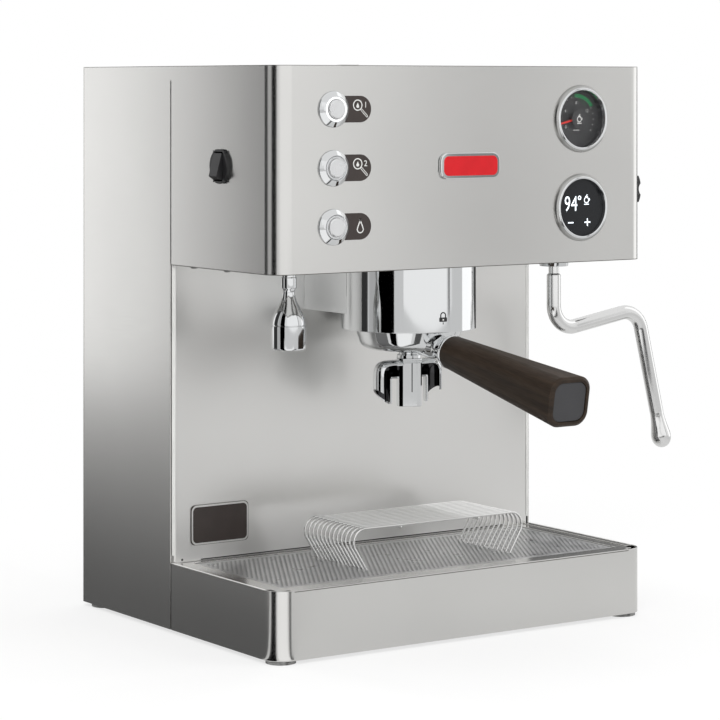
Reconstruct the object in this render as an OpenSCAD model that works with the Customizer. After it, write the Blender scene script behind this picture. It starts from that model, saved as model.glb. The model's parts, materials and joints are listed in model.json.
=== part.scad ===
// Two-boiler espresso machine for the home, with a lever-free group, a steam wand and a water tap.
// Millimetres. The origin is the centre of the footprint on the counter, +Z is up, the front faces -Y.

/* [Body] */
// Width over the side sheets
body_w = 310; // [300:1:350]
// Depth from the front panel to the rear panel
body_d = 258; // [254:1:300]
// Height from the counter to the top edge
body_h = 388; // [380:1:430]
// Height of the brewing head
head_h = 136; // [132:1:150]
// Depth of the column behind the cup space
column_d = 125; // [120:1:140]
// Height of the drip tray base above the counter
base_h = 48; // [44:1:60]
// Thickness of the steel sheets
sheet = 1.2; // [0.8:0.1:1.6]
// Outside radius of the front bends
corner_r = 13; // [9:0.5:18]
// Height of the feet below the body
foot_h = 2.5; // [2:0.5:10]
// Diameter of a foot
foot_d = 20; // [14:1:30]
// Distance from a foot's centre to the body's sides
foot_inset = 12; // [11:0.5:20]
// Width of the slit between head and column
slit_w = 1.2; // [0.8:0.1:2]
// Height of sheet left above the slit
slit_bridge = 10; // [6:0.5:20]
// Width of the fold under the head
head_fold = 5; // [4:0.5:8]
// Width of the fold around the top
top_fold = 10; // [8:0.5:14]

/* [Front panel] */
// Diameter of the bare hole through an instrument's chrome ring
instrument_d = 40; // [36:0.5:44]
// Width of an instrument's chrome ring
ring_w = 3.5; // [2.5:0.1:4.5]
// Distance from the instruments' centre to the right side
instrument_inset = 58.2; // [45:0.2:65]
// Distance from the gauge's centre down from the top edge
gauge_drop = 36.4; // [32:0.2:42]
// Distance between the gauge and the display
instrument_pitch = 61.6; // [56:0.2:68]
// Depth of the gauge behind the panel
gauge_depth = 28; // [20:1:32]
// Depth of the display behind the panel
display_depth = 24; // [16:1:30]
// Diameter of a push button's flange
switch_d = 24; // [22:0.5:26]
// Diameter of a push button's cap
cap_d = 12.6; // [11:0.1:13.5]
// Diameter over a push button's light ring
light_d = 15.4; // [14.6:0.1:16.4]
// How far a push button travels
button_travel = 1.5; // [1:0.1:2.5]
// Distance from the buttons' centre to the left side
button_inset = 45; // [42:0.5:52]
// Distance from the top button's centre down from the top edge
button_drop = 28.8; // [24:0.2:34]
// Distance between two push buttons
button_pitch = 38.5; // [32:0.5:42]
// Height of a button's dark plate
plate_h = 17.5; // [14:0.5:20]
// Length of a button's dark plate from the button's centre
plate_l = 29.5; // [24:0.5:34]
// Width of the red badge
badge_w = 50; // [40:1:60]
// Height of the red badge
badge_h = 18; // [14:0.5:22]
// Distance from the badge's centre down from the top edge
badge_drop = 67.4; // [55:0.2:80]

/* [Group and portafilter] */
// Distance from the front panel back to the group's axis
group_set = 70; // [66:0.5:76]
// Diameter of the chrome collar
collar_d = 94; // [90:0.5:100]
// Height of the chrome collar below the head
collar_h = 46; // [42:0.5:52]
// Wall of the chrome collar
collar_wall = 3; // [2:0.1:4]
// Width of the chrome housing behind the collar
shroud_w = 92; // [80:1:94]
// Height of the chrome housing behind the collar
shroud_h = 35; // [28:0.5:40]
// Inside diameter of the filter basket
basket_d = 58; // [56:0.1:58.6]
// Height of the filter basket
basket_h = 24; // [20:0.5:26]
// Diameter of the portafilter's bowl
bowl_d = 75; // [73:0.5:78]
// Drop of the handle, in degrees
handle_drop = 9.7; // [6:0.1:14]
// Length of the wooden handle
handle_l = 129; // [110:1:150]
// Width of the wooden handle at its end
handle_w = 33; // [28:0.5:38]
// Diameter of the handle at the bowl's end
handle_root_d = 23; // [20:0.5:26]
// Distance between the two spouts' outer sides
spout_span = 46; // [42:1:60]
// Height of the spout
spout_h = 33; // [28:0.5:38]

/* [Taps and switch] */
// Distance from the front panel back to the water tap and the steam wand
tap_set = 50; // [48:0.5:56]
// Distance from the centre line to the water tap and the steam wand
tap_reach = 112.5; // [108:0.5:116]
// Diameter of the steam wand's tube
wand_d = 10; // [8.8:0.1:11]
// How far the wand reaches sideways at its elbow
wand_reach = 77.5; // [60:0.5:90]
// How far the wand's elbow rises
wand_rise = 13.3; // [5:0.1:20]
// Length of the wand's lower arm with its tip
wand_arm = 105.5; // [80:0.5:115]
// Lean of the wand's lower arm, in degrees
wand_lean = 13.5; // [5:0.5:20]
// Bend radius of the wand's centre line
wand_bend_r = 16; // [14:0.5:20]
// Diameter of the ball that the wand swivels on
ball_d = 16; // [15:0.2:17]
// Diameter of the steam knob
knob_d = 36; // [30:1:40]
// Length of the steam knob
knob_l = 22; // [18:0.5:24]
// Distance from the steam knob's axis down from the top edge
knob_drop = 88; // [80:1:94]
// Distance from the power switch's centre down from the top edge
switch_drop = 67; // [60:0.5:90]
// Distance from the front panel back to the power switch's centre
switch_set = 67; // [60:0.5:76]

/* [Drip tray] */
// Width of the folded lip around the base
lip_w = 6; // [5:0.5:7]
// Width of the tray's rim
rim_w = 7.8; // [6.5:0.1:9]
// Depth of the grid's skirt
skirt_h = 8; // [5:0.5:12]
// Distance between two rows of slots in the grid
slot_pitch = 7; // [6:0.5:10]
// Width of a slot in the grid
slot_w = 4; // [3:0.1:4.6]
// Number of wires in the cup riser
wire_count = 13; // [9:2:17]
// Diameter of the cup riser's wires
wire_d = 1.6; // [1.2:0.1:2]
// Distance between two wires
wire_pitch = 5; // [4:0.1:5.4]
// Width of the cup riser over its bends
riser_w = 144; // [120:1:170]
// Width of the cup riser between its feet
riser_foot_w = 122; // [100:1:140]
// Height of the cup riser above the grid
riser_h = 29; // [22:0.5:34]

/* [Water and heat] */
// Width of the water tank
tank_w = 210; // [180:1:230]
// Depth of the water tank
tank_d = 62; // [50:1:62]
// Height of the water tank
tank_h = 205; // [180:1:208]
// Wall of the water tank
tank_wall = 2; // [1.5:0.1:3]
// Depth of the bay that holds the tank
bay_d = 71; // [70:0.5:74]
// Diameter of the coffee boiler
coffee_d = 72; // [66:1:74]
// Height of the coffee boiler
coffee_h = 94; // [80:1:100]
// Diameter of the steam boiler
steam_d = 90; // [80:1:90]
// Height of the steam boiler
steam_h = 102; // [90:1:104]
// Wall of both boilers
boiler_wall = 2.5; // [1.5:0.1:4]

/* [Clearances] */
// Gap around pieces that are laid in or fitted between sheets
fit_gap = 0.3; // [0.2:0.05:0.5]
// Gap around pieces that lift out
lift_gap = 0.8; // [0.5:0.1:1]
// Gap on the radius of a turning shaft or a sliding pin
shaft_gap = 0.08; // [0.05:0.01:0.1]

/* [Hidden] */
$fn = 64;

steel = "#c9c8c3";
chrome = "#dcdfe2";
brass = "#c9a24a";
copper = "#b87333";
black = "#1b1b1c";
graphite = "#3a3532";
walnut = "#46372a";
rubber = "#2a2a2a";
red = "#d8201c";

// Main planes
side_x = body_w / 2;
front_y = -body_d / 2;
back_y = body_d / 2;
wall_y = back_y - column_d;
bay_y = back_y - sheet - bay_d;
head_z = body_h - head_h;
inner_x = side_x - sheet - fit_gap;
pan_top = foot_h + sheet;
deck_z = head_z + 2 * sheet;
roof_z = body_h - 2 * sheet;
machine_mid_y = (wall_y + sheet + bay_y) / 2;

// Front panel
instrument_x = side_x - instrument_inset;
gauge_z = body_h - gauge_drop;
display_z = gauge_z - instrument_pitch;
case_wall = 1;
case_d = instrument_d + 2 * case_wall + 1;
ring_proud = 3;
glass_t = 1.5;
dial_set = 5;
needle_t = 0.5;
needle_l = 17;
gauge_pin_d = 1.6;
button_x = -side_x + button_inset;
button_names_z = [for (i = [0 : 2]) body_h - button_drop - i * button_pitch];
switch_proud = 4;
cap_proud = 5.2;
barrel_wall = 2;
barrel_l = 26;
barrel_d = light_d + 2 * barrel_wall;
cap_guide_d = cap_d - 3;
cap_gap = 0.2;
cap_seat = 5;
plate_t = 0.8;
badge_z = body_h - badge_drop;
badge_t = 2.5;
badge_rim = 1.4;
name_plate_w = 46;
name_plate_h = 27.5;
name_plate_inset = 16;
name_plate_z = base_h + 24.2;

// Screws
screw_r = 3;
screw_head = 1.4;

// Group
group_y = front_y + group_set;
collar_bottom = head_z - collar_h;
collar_in = collar_d / 2 - collar_wall;
bowl_top = collar_bottom + 7;
rim_top = head_z - 17;
basket_wall = 0.6;
basket_rim = 1.2;
basket_r = basket_d / 2 + basket_wall;
bowl_in = basket_r + 0.5;
neck_r = bowl_in + 4;
rim_r = basket_r + 4;
gasket_gap = 0.3;
gasket_bottom = rim_top + basket_rim + gasket_gap;
screen_r = basket_d / 2 - 2;
lug_r = neck_r + 4.5;
lug_h = 6;
lug_top = rim_top - 5;
lug_angle = 34;
group_gap = 0.5;
bowl_bottom = collar_bottom - 14.5;
outlet_r = 8.5;
spout_top = bowl_bottom - 6.5;
spout_bottom = spout_top - spout_h;
spout_block_r = 10.5;
gutter_r = 6.5;
gutter_wall = 1.6;
gutter_bend_r = 7.5;
gutter_cut_h = 11.5;
gutter_cut_angle = 39;
flange_r = collar_in;
flange_t = 8;
handle_start = 52;
handle_axis_z = collar_bottom - 4.3;
grip_end = handle_start / cos(handle_drop) + handle_l;
stud_r = 4;

// Taps
tap_y = front_y + tap_set;
tap_bottom = head_z - 53.5;
bell_r = 11.7;
tap_stem_r = 5;
tap_neck_r = 4.1;
tap_bore_r = 2.5;
ball_z = head_z + 5;
ball_r = ball_d / 2;
nut_r = 11;
nut_mouth_r = 7;
nut_flange_h = 6;
wand_neck_r = 3.7;
wand_top = head_z - 12;
wand_low = head_z - 53.3;
rise_angle = atan2(wand_rise, wand_reach);
lower_turn = 90 + rise_angle;
upper_turn = 90 - wand_lean + rise_angle;
lower_trim = wand_bend_r * tan(lower_turn / 2);
upper_trim = wand_bend_r * tan(upper_turn / 2);
elbow_x = tap_reach + wand_reach;
elbow_z = wand_low + wand_rise;
tip_r = 7.2;
tip_l = 27;
tip_bore_r = 1;
spindle_r = 4;
knob_z = body_h - knob_drop;
valve_r = 12;
valve_front = 10;
spindle_start = tap_reach + 6;
stem_travel = 2.3;
rocker_z = body_h - switch_drop;
rocker_y = front_y + switch_set;
rocker_w = 10;
rocker_h = 19;
rocker_plate_d = 23;
rocker_plate_t = 2;
rocker_pin_r = 1.5;
rocker_depth = 20;

// Drip tray
rim_x = side_x - lip_w - lift_gap;
rim_front = front_y + lip_w + lift_gap;
rim_back = wall_y - plate_t - lift_gap;
rim_z = base_h - 0.5;
tray_x = rim_x - rim_w + sheet;
tray_front = rim_front + rim_w - sheet;
tray_back = rim_back - 3;
ledge_w = 4;
grid_top = base_h - 1;
grid_x = tray_x - sheet - lift_gap;
grid_front = tray_front + sheet + lift_gap;
grid_back = tray_back - sheet - lift_gap;
grid_border = 8;
slot_columns = 5;
slot_web = 5;
riser_y = (front_y + wall_y) / 2 + 1.5;
riser_z = grid_top + 0.5;
riser_top = riser_z + riser_h;
wire_bend_r = 9;
bend_slim = 0.02;
bend_lap = 0.3;
riser_x = 3;

// Water
tank_y = bay_y + sheet + (bay_d - sheet) / 2;
tank_top = roof_z - 14;
tank_bottom = tank_top - tank_h;
shelf_t = sheet;
opening_gap = 2;
lid_over = 3;
lid_skirt = 6;
lid_skirt_wall = 1.5;
lid_x = tank_w / 2 + opening_gap + lid_over;
lid_back = back_y - sheet - lift_gap;
lid_front = wall_y + 10;
lid_grip_w = 15.5;
lid_grip_d = 6;
lid_grip_h = 1.8;
outlet_tube_r = 6;
outlet_tube_l = 10;

// Heat
coffee_z = deck_z + flange_t;
steam_x = side_x - sheet - steam_d / 2 - 16;
steam_y = bay_y - steam_d / 2 - 6;
steam_z = deck_z + 11;
plug_r = 12;
plug_flange_r = 17;
plug_flange_t = 3;
terminal_l = 5;
element_gap = 30;
coil_w = 30;
brew_valve_x = 26;
brew_valve_y = 46;
pump_x = -60;
pump_len = 44;
pump_h = 40;
pump_axis_z = pan_top + 34;
pump_bore_r = 6;
plunger_l = 24;
plunger_end_r = 12;
plunger_tail_r = 9;
end_l = 20;
pipe_r = 3;
hose_r = 4;
control_w = 104;
control_h = 96;
inlet_w = 27.5;
inlet_h = 20;
inlet_depth = 24;
inlet_x = side_x - 40;
inlet_z = foot_h + 34;
socket_w = 24;
socket_h = 16;
socket_depth = 14;
pin_t = 2;
pin_h = 3.2;

// ---------- shared shapes ----------

// Plan of a sheet bent around the two front corners
module bent_plan(inset, rear_y) {
  r = corner_r - inset;
  translate([-side_x + inset, front_y + corner_r])
    square([body_w - 2 * inset, rear_y - front_y - corner_r]);
  translate([-side_x + corner_r, front_y + inset])
    square([body_w - 2 * corner_r, corner_r]);
  for (side = [-1, 1])
    translate([side * (side_x - corner_r), front_y + corner_r])
      circle(r);
}

// A sheet of the body's thickness that follows that plan
module bent_sheet(z0, z1, rear_y) {
  translate([0, 0, z0])
    linear_extrude(z1 - z0)
      difference() {
        bent_plan(0, rear_y);
        bent_plan(sheet, rear_y + 1);
      }
}

// A fold that lies flat along the three bent sides
module flat_fold(z0, width, rear_y) {
  translate([0, 0, z0])
    linear_extrude(sheet)
      difference() {
        bent_plan(sheet / 2, rear_y);
        translate([-side_x + width, front_y + width])
          square([body_w - 2 * width, body_d]);
      }
}

module block(x0, x1, y0, y1, z0, z1) {
  translate([x0, y0, z0])
    cube([x1 - x0, y1 - y0, z1 - z0]);
}

// A cylinder along +Y or +X from a point
module along_y(p, r, l) {
  translate(p)
    rotate([-90, 0, 0])
      cylinder(r = r, h = l);
}

module along_x(p, r, l) {
  translate(p)
    rotate([0, 90, 0])
      cylinder(r = r, h = l);
}

// Profile given as [radius, depth behind the panel], turned about an axis into the front panel
module turned_in_panel(x, z, points) {
  translate([x, front_y, z])
    rotate([90, 0, 0])
      rotate_extrude()
        polygon([for (p = points) [p[0], -p[1]]]);
}

module rounded_square(w, h, r) {
  square([w, h - 2 * r], center = true);
  square([w - 2 * r, h], center = true);
  for (x = [-1, 1])
    for (y = [-1, 1])
      translate([x * (w / 2 - r), y * (h / 2 - r)])
        circle(r);
}

// Round tube or rod through a list of points, with ball corners
module rod_run(points, r) {
  for (i = [1 : len(points) - 1]) {
    d = points[i] - points[i - 1];
    l = norm(d);
    translate(points[i - 1])
      rotate([0, acos(d[2] / l), atan2(d[1], d[0])])
        cylinder(r = r, h = l);
    if (i < len(points) - 1)
      translate(points[i])
        sphere(r);
  }
}

// ---------- sheet metal ----------

module outer_shell() color(steel) difference() {
  union() {
    bent_sheet(foot_h, body_h, back_y - sheet);
    flat_fold(body_h - sheet, top_fold, back_y - sheet);
    flat_fold(head_z, head_fold, wall_y);
  }
  block(-body_w, body_w, front_y - 1, wall_y + slit_w / 2, -1, head_z);
  for (side = [-1, 1])
    block(side * side_x - 2 * sheet, side * side_x + 2 * sheet, wall_y - slit_w / 2, wall_y + slit_w / 2,
          head_z - 1, body_h - slit_bridge);
  for (z = [gauge_z, display_z])
    along_y([instrument_x, front_y - 1, z], case_d / 2 + fit_gap, sheet + 2);
  for (z = button_names_z)
    along_y([button_x, front_y - 1, z], barrel_d / 2 + fit_gap, sheet + 2);
  along_x([side_x - sheet - 1, tap_y, knob_z], spindle_r + fit_gap, sheet + 2);
  block(-side_x - 1, -side_x + sheet + 1, rocker_y - rocker_w / 2 - 2.5, rocker_y + rocker_w / 2 + 2.5,
        rocker_z - rocker_h / 2 - 1.5, rocker_z + rocker_h / 2 + 1.5);
}

module base_frame() color(steel) {
  rear = wall_y - slit_w / 2;
  bent_sheet(foot_h, base_h, rear);
  for (side = [-1, 1])
    block(min(side * side_x, side * (side_x - lip_w)), max(side * side_x, side * (side_x - lip_w)),
          front_y + corner_r + 1, rear, base_h - sheet, base_h);
  block(-side_x + corner_r + 1, side_x - corner_r - 1, front_y, front_y + lip_w, base_h - sheet, base_h);
}

module floor_pan() color(steel)
  translate([0, 0, foot_h])
    linear_extrude(sheet)
      bent_plan(sheet + fit_gap, back_y - sheet - fit_gap);

module feet() color("silver")
  for (x = [-1, 1])
    for (y = [front_y + foot_inset, back_y - foot_inset])
      translate([x * (side_x - foot_inset), y, 0])
        cylinder(d = foot_d, h = foot_h);

module backsplash() color(steel)
  translate([0, 0, pan_top])
    linear_extrude(head_z + sheet - pan_top)
      difference() {
        backsplash_plan(0);
        backsplash_plan(sheet);
      }

// Plan of the backsplash, a sheet with two rounded edges that turn back
module backsplash_plan(inset) {
  edge_r = 3;
  turn = 12;
  translate([-inner_x + inset, wall_y + edge_r])
    square([2 * (inner_x - inset), turn - edge_r + inset]);
  translate([-inner_x + edge_r, wall_y + inset])
    square([2 * (inner_x - edge_r), edge_r]);
  for (side = [-1, 1])
    translate([side * (inner_x - edge_r), wall_y + edge_r])
      circle(edge_r - inset);
}

module head_floor() color(steel) difference() {
  translate([0, 0, head_z + sheet])
    linear_extrude(sheet)
      bent_plan(sheet + fit_gap, bay_y);
  translate([0, group_y, head_z])
    cylinder(r = collar_in - 6 + fit_gap, h = 4 * sheet);
  for (side = [-1, 1])
    translate([side * tap_reach, tap_y, head_z])
      cylinder(r = (side < 0 ? tap_stem_r : nut_r - 1) + fit_gap, h = 4 * sheet);
  translate([pump_x, machine_mid_y, head_z])
    cylinder(r = pipe_r + 1, h = 4 * sheet);
}

module top_panel() color(steel) difference() {
  union() {
    translate([0, 0, roof_z])
      linear_extrude(sheet)
        bent_plan(sheet + fit_gap, back_y - sheet - fit_gap);
    block(-side_x + top_fold + fit_gap, side_x - top_fold - fit_gap, front_y + top_fold + fit_gap,
          back_y - sheet - fit_gap, body_h - sheet, body_h);
  }
  tank_opening(0);
  block(-lid_x - fit_gap, lid_x + fit_gap, lid_front - fit_gap, back_y, body_h - sheet, body_h + 1);
  for (row = [0 : 2])
    for (i = [-5 : 5])
      translate([i * 22, front_y + 45 + row * 28, roof_z - 1])
        linear_extrude(3 * sheet + 1)
          rounded_square(14, 4, 1.9);
}

// Space above the tank, drawn inwards by inset
module tank_opening(inset) {
  w = tank_w / 2 + opening_gap - inset;
  d = tank_d / 2 + opening_gap - inset;
  block(-w, w, tank_y - d, tank_y + d, roof_z - 2 * lid_skirt, body_h + 1);
}

module rear_panel() color(steel) difference() {
  block(-side_x, side_x, back_y - sheet, back_y, foot_h, body_h);
  for (row = [0 : 7])
    for (side = [-1, 1])
      block(side * 90 - 30, side * 90 + 30, back_y - sheet - 1, back_y + 1,
            head_z + row * 12, head_z + 4 + row * 12);
  block(inlet_x - inlet_w / 2, inlet_x + inlet_w / 2, back_y - sheet - 1, back_y + 1,
        inlet_z - inlet_h / 2, inlet_z + inlet_h / 2);
}

// Folded wall and shelf that keep the tank apart from the hot side
module tank_bay() color(steel) difference() {
  union() {
    block(-inner_x, inner_x, bay_y, bay_y + sheet, pan_top, roof_z);
    block(-inner_x, inner_x, bay_y, back_y - sheet - fit_gap, tank_bottom - shelf_t, tank_bottom);
  }
  translate([0, tank_y, tank_bottom - 2 * shelf_t])
    cylinder(r = outlet_tube_r + 2, h = 3 * shelf_t);
  along_y([0, bay_y - 1, pump_axis_z], hose_r + 1, sheet + 2);
}

module fasteners() color(steel) {
  for (x = [-1, 1])
    for (y = [rocker_y, group_y + 40])
      translate([x * (side_x - head_fold), y, head_z - screw_head])
        cylinder(r1 = screw_r * 0.6, r2 = screw_r, h = screw_head);
  for (x = [-1, 1])
    for (z = [foot_h + 14, head_z - 30, body_h - 14])
      translate([x * (side_x - 12), back_y, z])
        rotate([-90, 0, 0])
          cylinder(r1 = screw_r, r2 = screw_r * 0.6, h = screw_head);
  translate([0, group_y, gasket_bottom - screw_head - 1])
    cylinder(r1 = screw_r * 0.7, r2 = screw_r + 1, h = screw_head);
}

// ---------- group ----------

module group_collar() color(chrome)
  translate([0, group_y, collar_bottom])
    rotate_extrude() {
      translate([collar_in, 0])
        square([collar_wall, collar_h]);
      translate([collar_in - 6, collar_h - 3])
        square([7, 3]);
    }

module group_shroud() color(chrome) difference() {
  translate([0, 0, head_z - shroud_h])
    linear_extrude(shroud_h)
      shroud_plan(0);
  translate([0, 0, head_z - shroud_h + sheet])
    linear_extrude(shroud_h)
      shroud_plan(2);
}

module shroud_plan(inset) difference() {
  translate([-shroud_w / 2 + inset, group_y])
    square([shroud_w - 2 * inset, wall_y - group_y - inset]);
  translate([0, group_y])
    circle(collar_d / 2 + inset);
}

// Casting with a stepped bore: bayonet entry, lug groove, seat for the gasket
module group_body() color(brass) {
  bottom = bowl_top + group_gap;
  shoulder = lug_top - lug_h - group_gap;
  translate([0, group_y, 0])
    difference() {
      union() {
        translate([0, 0, bottom])
          cylinder(r = collar_in - fit_gap, h = head_z - 3 - bottom);
        translate([0, 0, bottom])
          cylinder(r = collar_in - 6, h = deck_z - bottom);
        translate([0, 0, deck_z])
          cylinder(r = flange_r, h = flange_t);
      }
      translate([0, 0, bottom - 1])
        cylinder(r = neck_r + group_gap, h = gasket_bottom - bottom + 1);
      translate([0, 0, shoulder])
        cylinder(r = lug_r + group_gap, h = lug_top + group_gap - shoulder);
      translate([0, 0, gasket_bottom - 1])
        cylinder(r = rim_r + 0.4, h = 9);
      for (a = [0, 180])
        rotate(a + 130 - lug_angle / 2 - 4)
          rotate_extrude(angle = lug_angle + 8)
            translate([neck_r - 1, bottom - 1])
              square([lug_r + group_gap - neck_r + 1, shoulder - bottom + 2]);
      translate([0, 0, gasket_bottom])
        cylinder(r = 3, h = flange_t + deck_z);
    }
}

module group_gasket() color(rubber)
  translate([0, group_y, gasket_bottom])
    rotate_extrude()
      translate([screen_r + 1, 0])
        square([rim_r - screen_r - 1, 8]);

module shower_screen() color(chrome)
  translate([0, group_y, gasket_bottom - 1])
    difference() {
      cylinder(r = screen_r, h = 9);
      for (ring = [1 : 3])
        for (i = [0 : 6 * ring - 1])
          rotate(i * 60 / ring)
            translate([ring * 8, 0, -1])
              cylinder(r = 1.2, h = 3);
    }

// Bowl, lugs, outlet and the arm with its stud, in one casting
module portafilter() color(chrome) {
  translate([0, group_y, 0])
    difference() {
      union() {
        rotate_extrude()
          polygon([[0, bowl_bottom - 6.5], [outlet_r, bowl_bottom - 6.5], [outlet_r, bowl_bottom - 4],
                   [outlet_r - 1.5, bowl_bottom - 3.2], [outlet_r + 1, bowl_bottom - 1],
                   [bowl_d / 2 - 11, bowl_bottom], [bowl_d / 2 - 6, bowl_bottom + 1.4],
                   [bowl_d / 2 - 3.4, bowl_bottom + 4], [bowl_d / 2, bowl_bottom + 15],
                   [bowl_d / 2, bowl_top], [neck_r, bowl_top], [neck_r, rim_top], [0, rim_top]]);
        for (a = [0, 180])
          rotate(a - lug_angle / 2)
            rotate_extrude(angle = lug_angle)
              translate([neck_r - 1, lug_top - lug_h])
                square([lug_r - neck_r + 1, lug_h]);
        handle_frame()
          rotate([90, 0, 0]) {
            cylinder(r = 7.5, h = handle_start - 4);
            translate([0, 0, handle_start - 8])
              cylinder(r1 = 7.5, r2 = handle_root_d / 2, h = 5);
            translate([0, 0, handle_start - 3])
              cylinder(r = handle_root_d / 2, h = 3 + handle_start / cos(handle_drop) - handle_start);
            cylinder(r = stud_r, h = handle_start + 30);
          }
      }
      translate([0, 0, bowl_bottom + 6])
        cylinder(r = bowl_in, h = rim_top);
      translate([0, 0, bowl_bottom - 20])
        cylinder(r = 3, h = 40);
    }
}

// Turns its children from -Y down along the handle's axis
module handle_frame()
  translate([0, 0, handle_axis_z])
    rotate([handle_drop, 0, 0])
      children();

module filter_basket() color(chrome)
  translate([0, group_y, 0])
    rotate_extrude()
      polygon([[0, rim_top - basket_h], [basket_r - 2, rim_top - basket_h],
               [basket_r, rim_top - basket_h + 2], [basket_r, rim_top],
               [rim_r - 0.4, rim_top], [rim_r - 0.4, rim_top + basket_rim],
               [basket_r - basket_wall, rim_top + basket_rim],
               [basket_r - basket_wall, rim_top - basket_h + 2],
               [basket_r - 2 - basket_wall, rim_top - basket_h + basket_wall],
               [0, rim_top - basket_h + basket_wall]]);

// Section of a gutter that is open to the front
module gutter_section() difference() {
  translate([-gutter_r, -gutter_r])
    square(2 * gutter_r);
  translate([-gutter_r + gutter_wall, -gutter_r + gutter_wall])
    square([2 * (gutter_r - gutter_wall), 2 * gutter_r]);
}

// Centre block with two open gutters that turn out and down, their ends cut on the slant
module spout() color(chrome) {
  bend_x = spout_span / 2 - gutter_bend_r;
  bend_z = spout_top - 1 - gutter_bend_r - gutter_r;
  translate([0, group_y, 0])
    difference() {
      union() {
        translate([0, 0, spout_bottom])
          rotate(22.5)
            cylinder(r = spout_block_r, h = spout_h, $fn = 8);
        for (side = [0, 1])
          mirror([side, 0, 0])
            difference() {
              translate([bend_x, 0, bend_z])
                rotate([90, 0, 0]) {
                  rotate_extrude(angle = 90)
                    translate([gutter_bend_r, 0])
                      gutter_section();
                  translate([gutter_bend_r, 0, 0])
                    rotate([90, 0, 0])
                      linear_extrude(bend_z - spout_bottom - 1)
                        gutter_section();
                  translate([spout_block_r - 3 - bend_x, gutter_bend_r, 0])
                    rotate([90, 0, 90])
                      linear_extrude(bend_x - spout_block_r + 3)
                        gutter_section();
                }
              translate([spout_span / 2 + gutter_r, 0, spout_bottom + gutter_cut_h])
                rotate([0, -gutter_cut_angle, 0])
                  translate([-spout_span, -gutter_r - 1, -spout_h])
                    cube([2 * spout_span, 2 * gutter_r + 2, spout_h]);
            }
      }
      translate([0, 0, spout_top - 20])
        cylinder(r = 5, h = 21);
      along_x([-spout_block_r, 0, spout_top - 1 - gutter_r], 2, 2 * spout_block_r);
    }
}

// Wooden grip: round at the bowl, a soft square at its end
module handle_grip() color(walnut)
  translate([0, group_y, 0])
    handle_frame()
      rotate([90, 0, 0])
        difference() {
          hull() {
            translate([0, 0, handle_start / cos(handle_drop)])
              cylinder(d = handle_root_d - 1, h = 1, $fn = 40);
            translate([0, 0, grip_end - 2])
              linear_extrude(2)
                rounded_square(handle_w, handle_w, 9, $fn = 32);
          }
          cylinder(r = stud_r + shaft_gap, h = handle_start + 32);
          translate([0, 0, grip_end - 1.5])
            linear_extrude(2)
              rounded_square(handle_w - 7, handle_w - 7, 6);
        }

module handle_cap() color(graphite)
  translate([0, group_y, 0])
    handle_frame()
      rotate([90, 0, 0])
        translate([0, 0, grip_end - 1.5])
          linear_extrude(1)
            rounded_square(handle_w - 7.4, handle_w - 7.4, 5.8);

// ---------- taps ----------

module hot_water_tap() color(chrome)
  translate([-tap_reach, tap_y, 0])
    rotate_extrude()
      polygon([[tap_bore_r, tap_bottom], [bell_r - 1, tap_bottom], [bell_r, tap_bottom + 1.5],
               [bell_r, tap_bottom + 16], [bell_r - 0.5, tap_bottom + 16.4], [bell_r - 0.5, tap_bottom + 17],
               [bell_r - 1, tap_bottom + 21], [bell_r - 2.6, tap_bottom + 25],
               [bell_r - 5.4, tap_bottom + 30], [tap_neck_r + 0.6, tap_bottom + 34],
               [tap_neck_r, tap_bottom + 38.5], [tap_stem_r + 0.3, tap_bottom + 41],
               [tap_stem_r + 0.3, tap_bottom + 48], [tap_stem_r, tap_bottom + 49],
               [tap_stem_r, deck_z], [tap_bore_r, deck_z]]);

// Collar under the head that holds the wand's ball
module wand_nut() color(chrome)
  translate([tap_reach, tap_y, 0])
    difference() {
      union() {
        translate([0, 0, head_z - nut_flange_h])
          cylinder(r1 = nut_r - 1, r2 = nut_r, h = nut_flange_h);
        translate([0, 0, head_z])
          cylinder(r = nut_r, h = sheet);
        translate([0, 0, head_z])
          cylinder(r = nut_r - 1, h = ball_z + ball_r + 1 - head_z);
      }
      translate([0, 0, ball_z])
        sphere(ball_r + fit_gap);
      translate([0, 0, ball_z])
        cylinder(r = ball_r + fit_gap, h = 40);
      translate([0, 0, head_z - nut_flange_h - 1])
        cylinder(r1 = nut_mouth_r + 2, r2 = nut_mouth_r, h = nut_flange_h + 1);
    }

// Seal that turns with the ball
module wand_seat() color("white")
  translate([tap_reach, tap_y, ball_z + ball_r + 0.2])
    difference() {
      cylinder(r = ball_r - 1, h = 2.5);
      translate([0, 0, -1])
        cylinder(r = tap_bore_r, h = 5);
    }

// Bend of a round rod in the XZ plane, from angle start through turn about the point p.
// It is a hair thinner than the straight rods that overlap its ends.
module rod_bend(p, bend_r, start, turn, r) {
  translate(p)
    rotate([90, 0, 0])
      rotate([0, 0, start])
        rotate_extrude(angle = turn)
          translate([bend_r, 0])
            circle(r - bend_slim);
}

// Straight rod from p, its direction turned by angle from +Z towards +X, that overlaps both its bends
module rod_straight(p, angle, l, r)
  translate(p)
    rotate([0, angle, 0])
      translate([0, 0, -bend_lap])
        cylinder(r = r, h = l + 2 * bend_lap);

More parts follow.
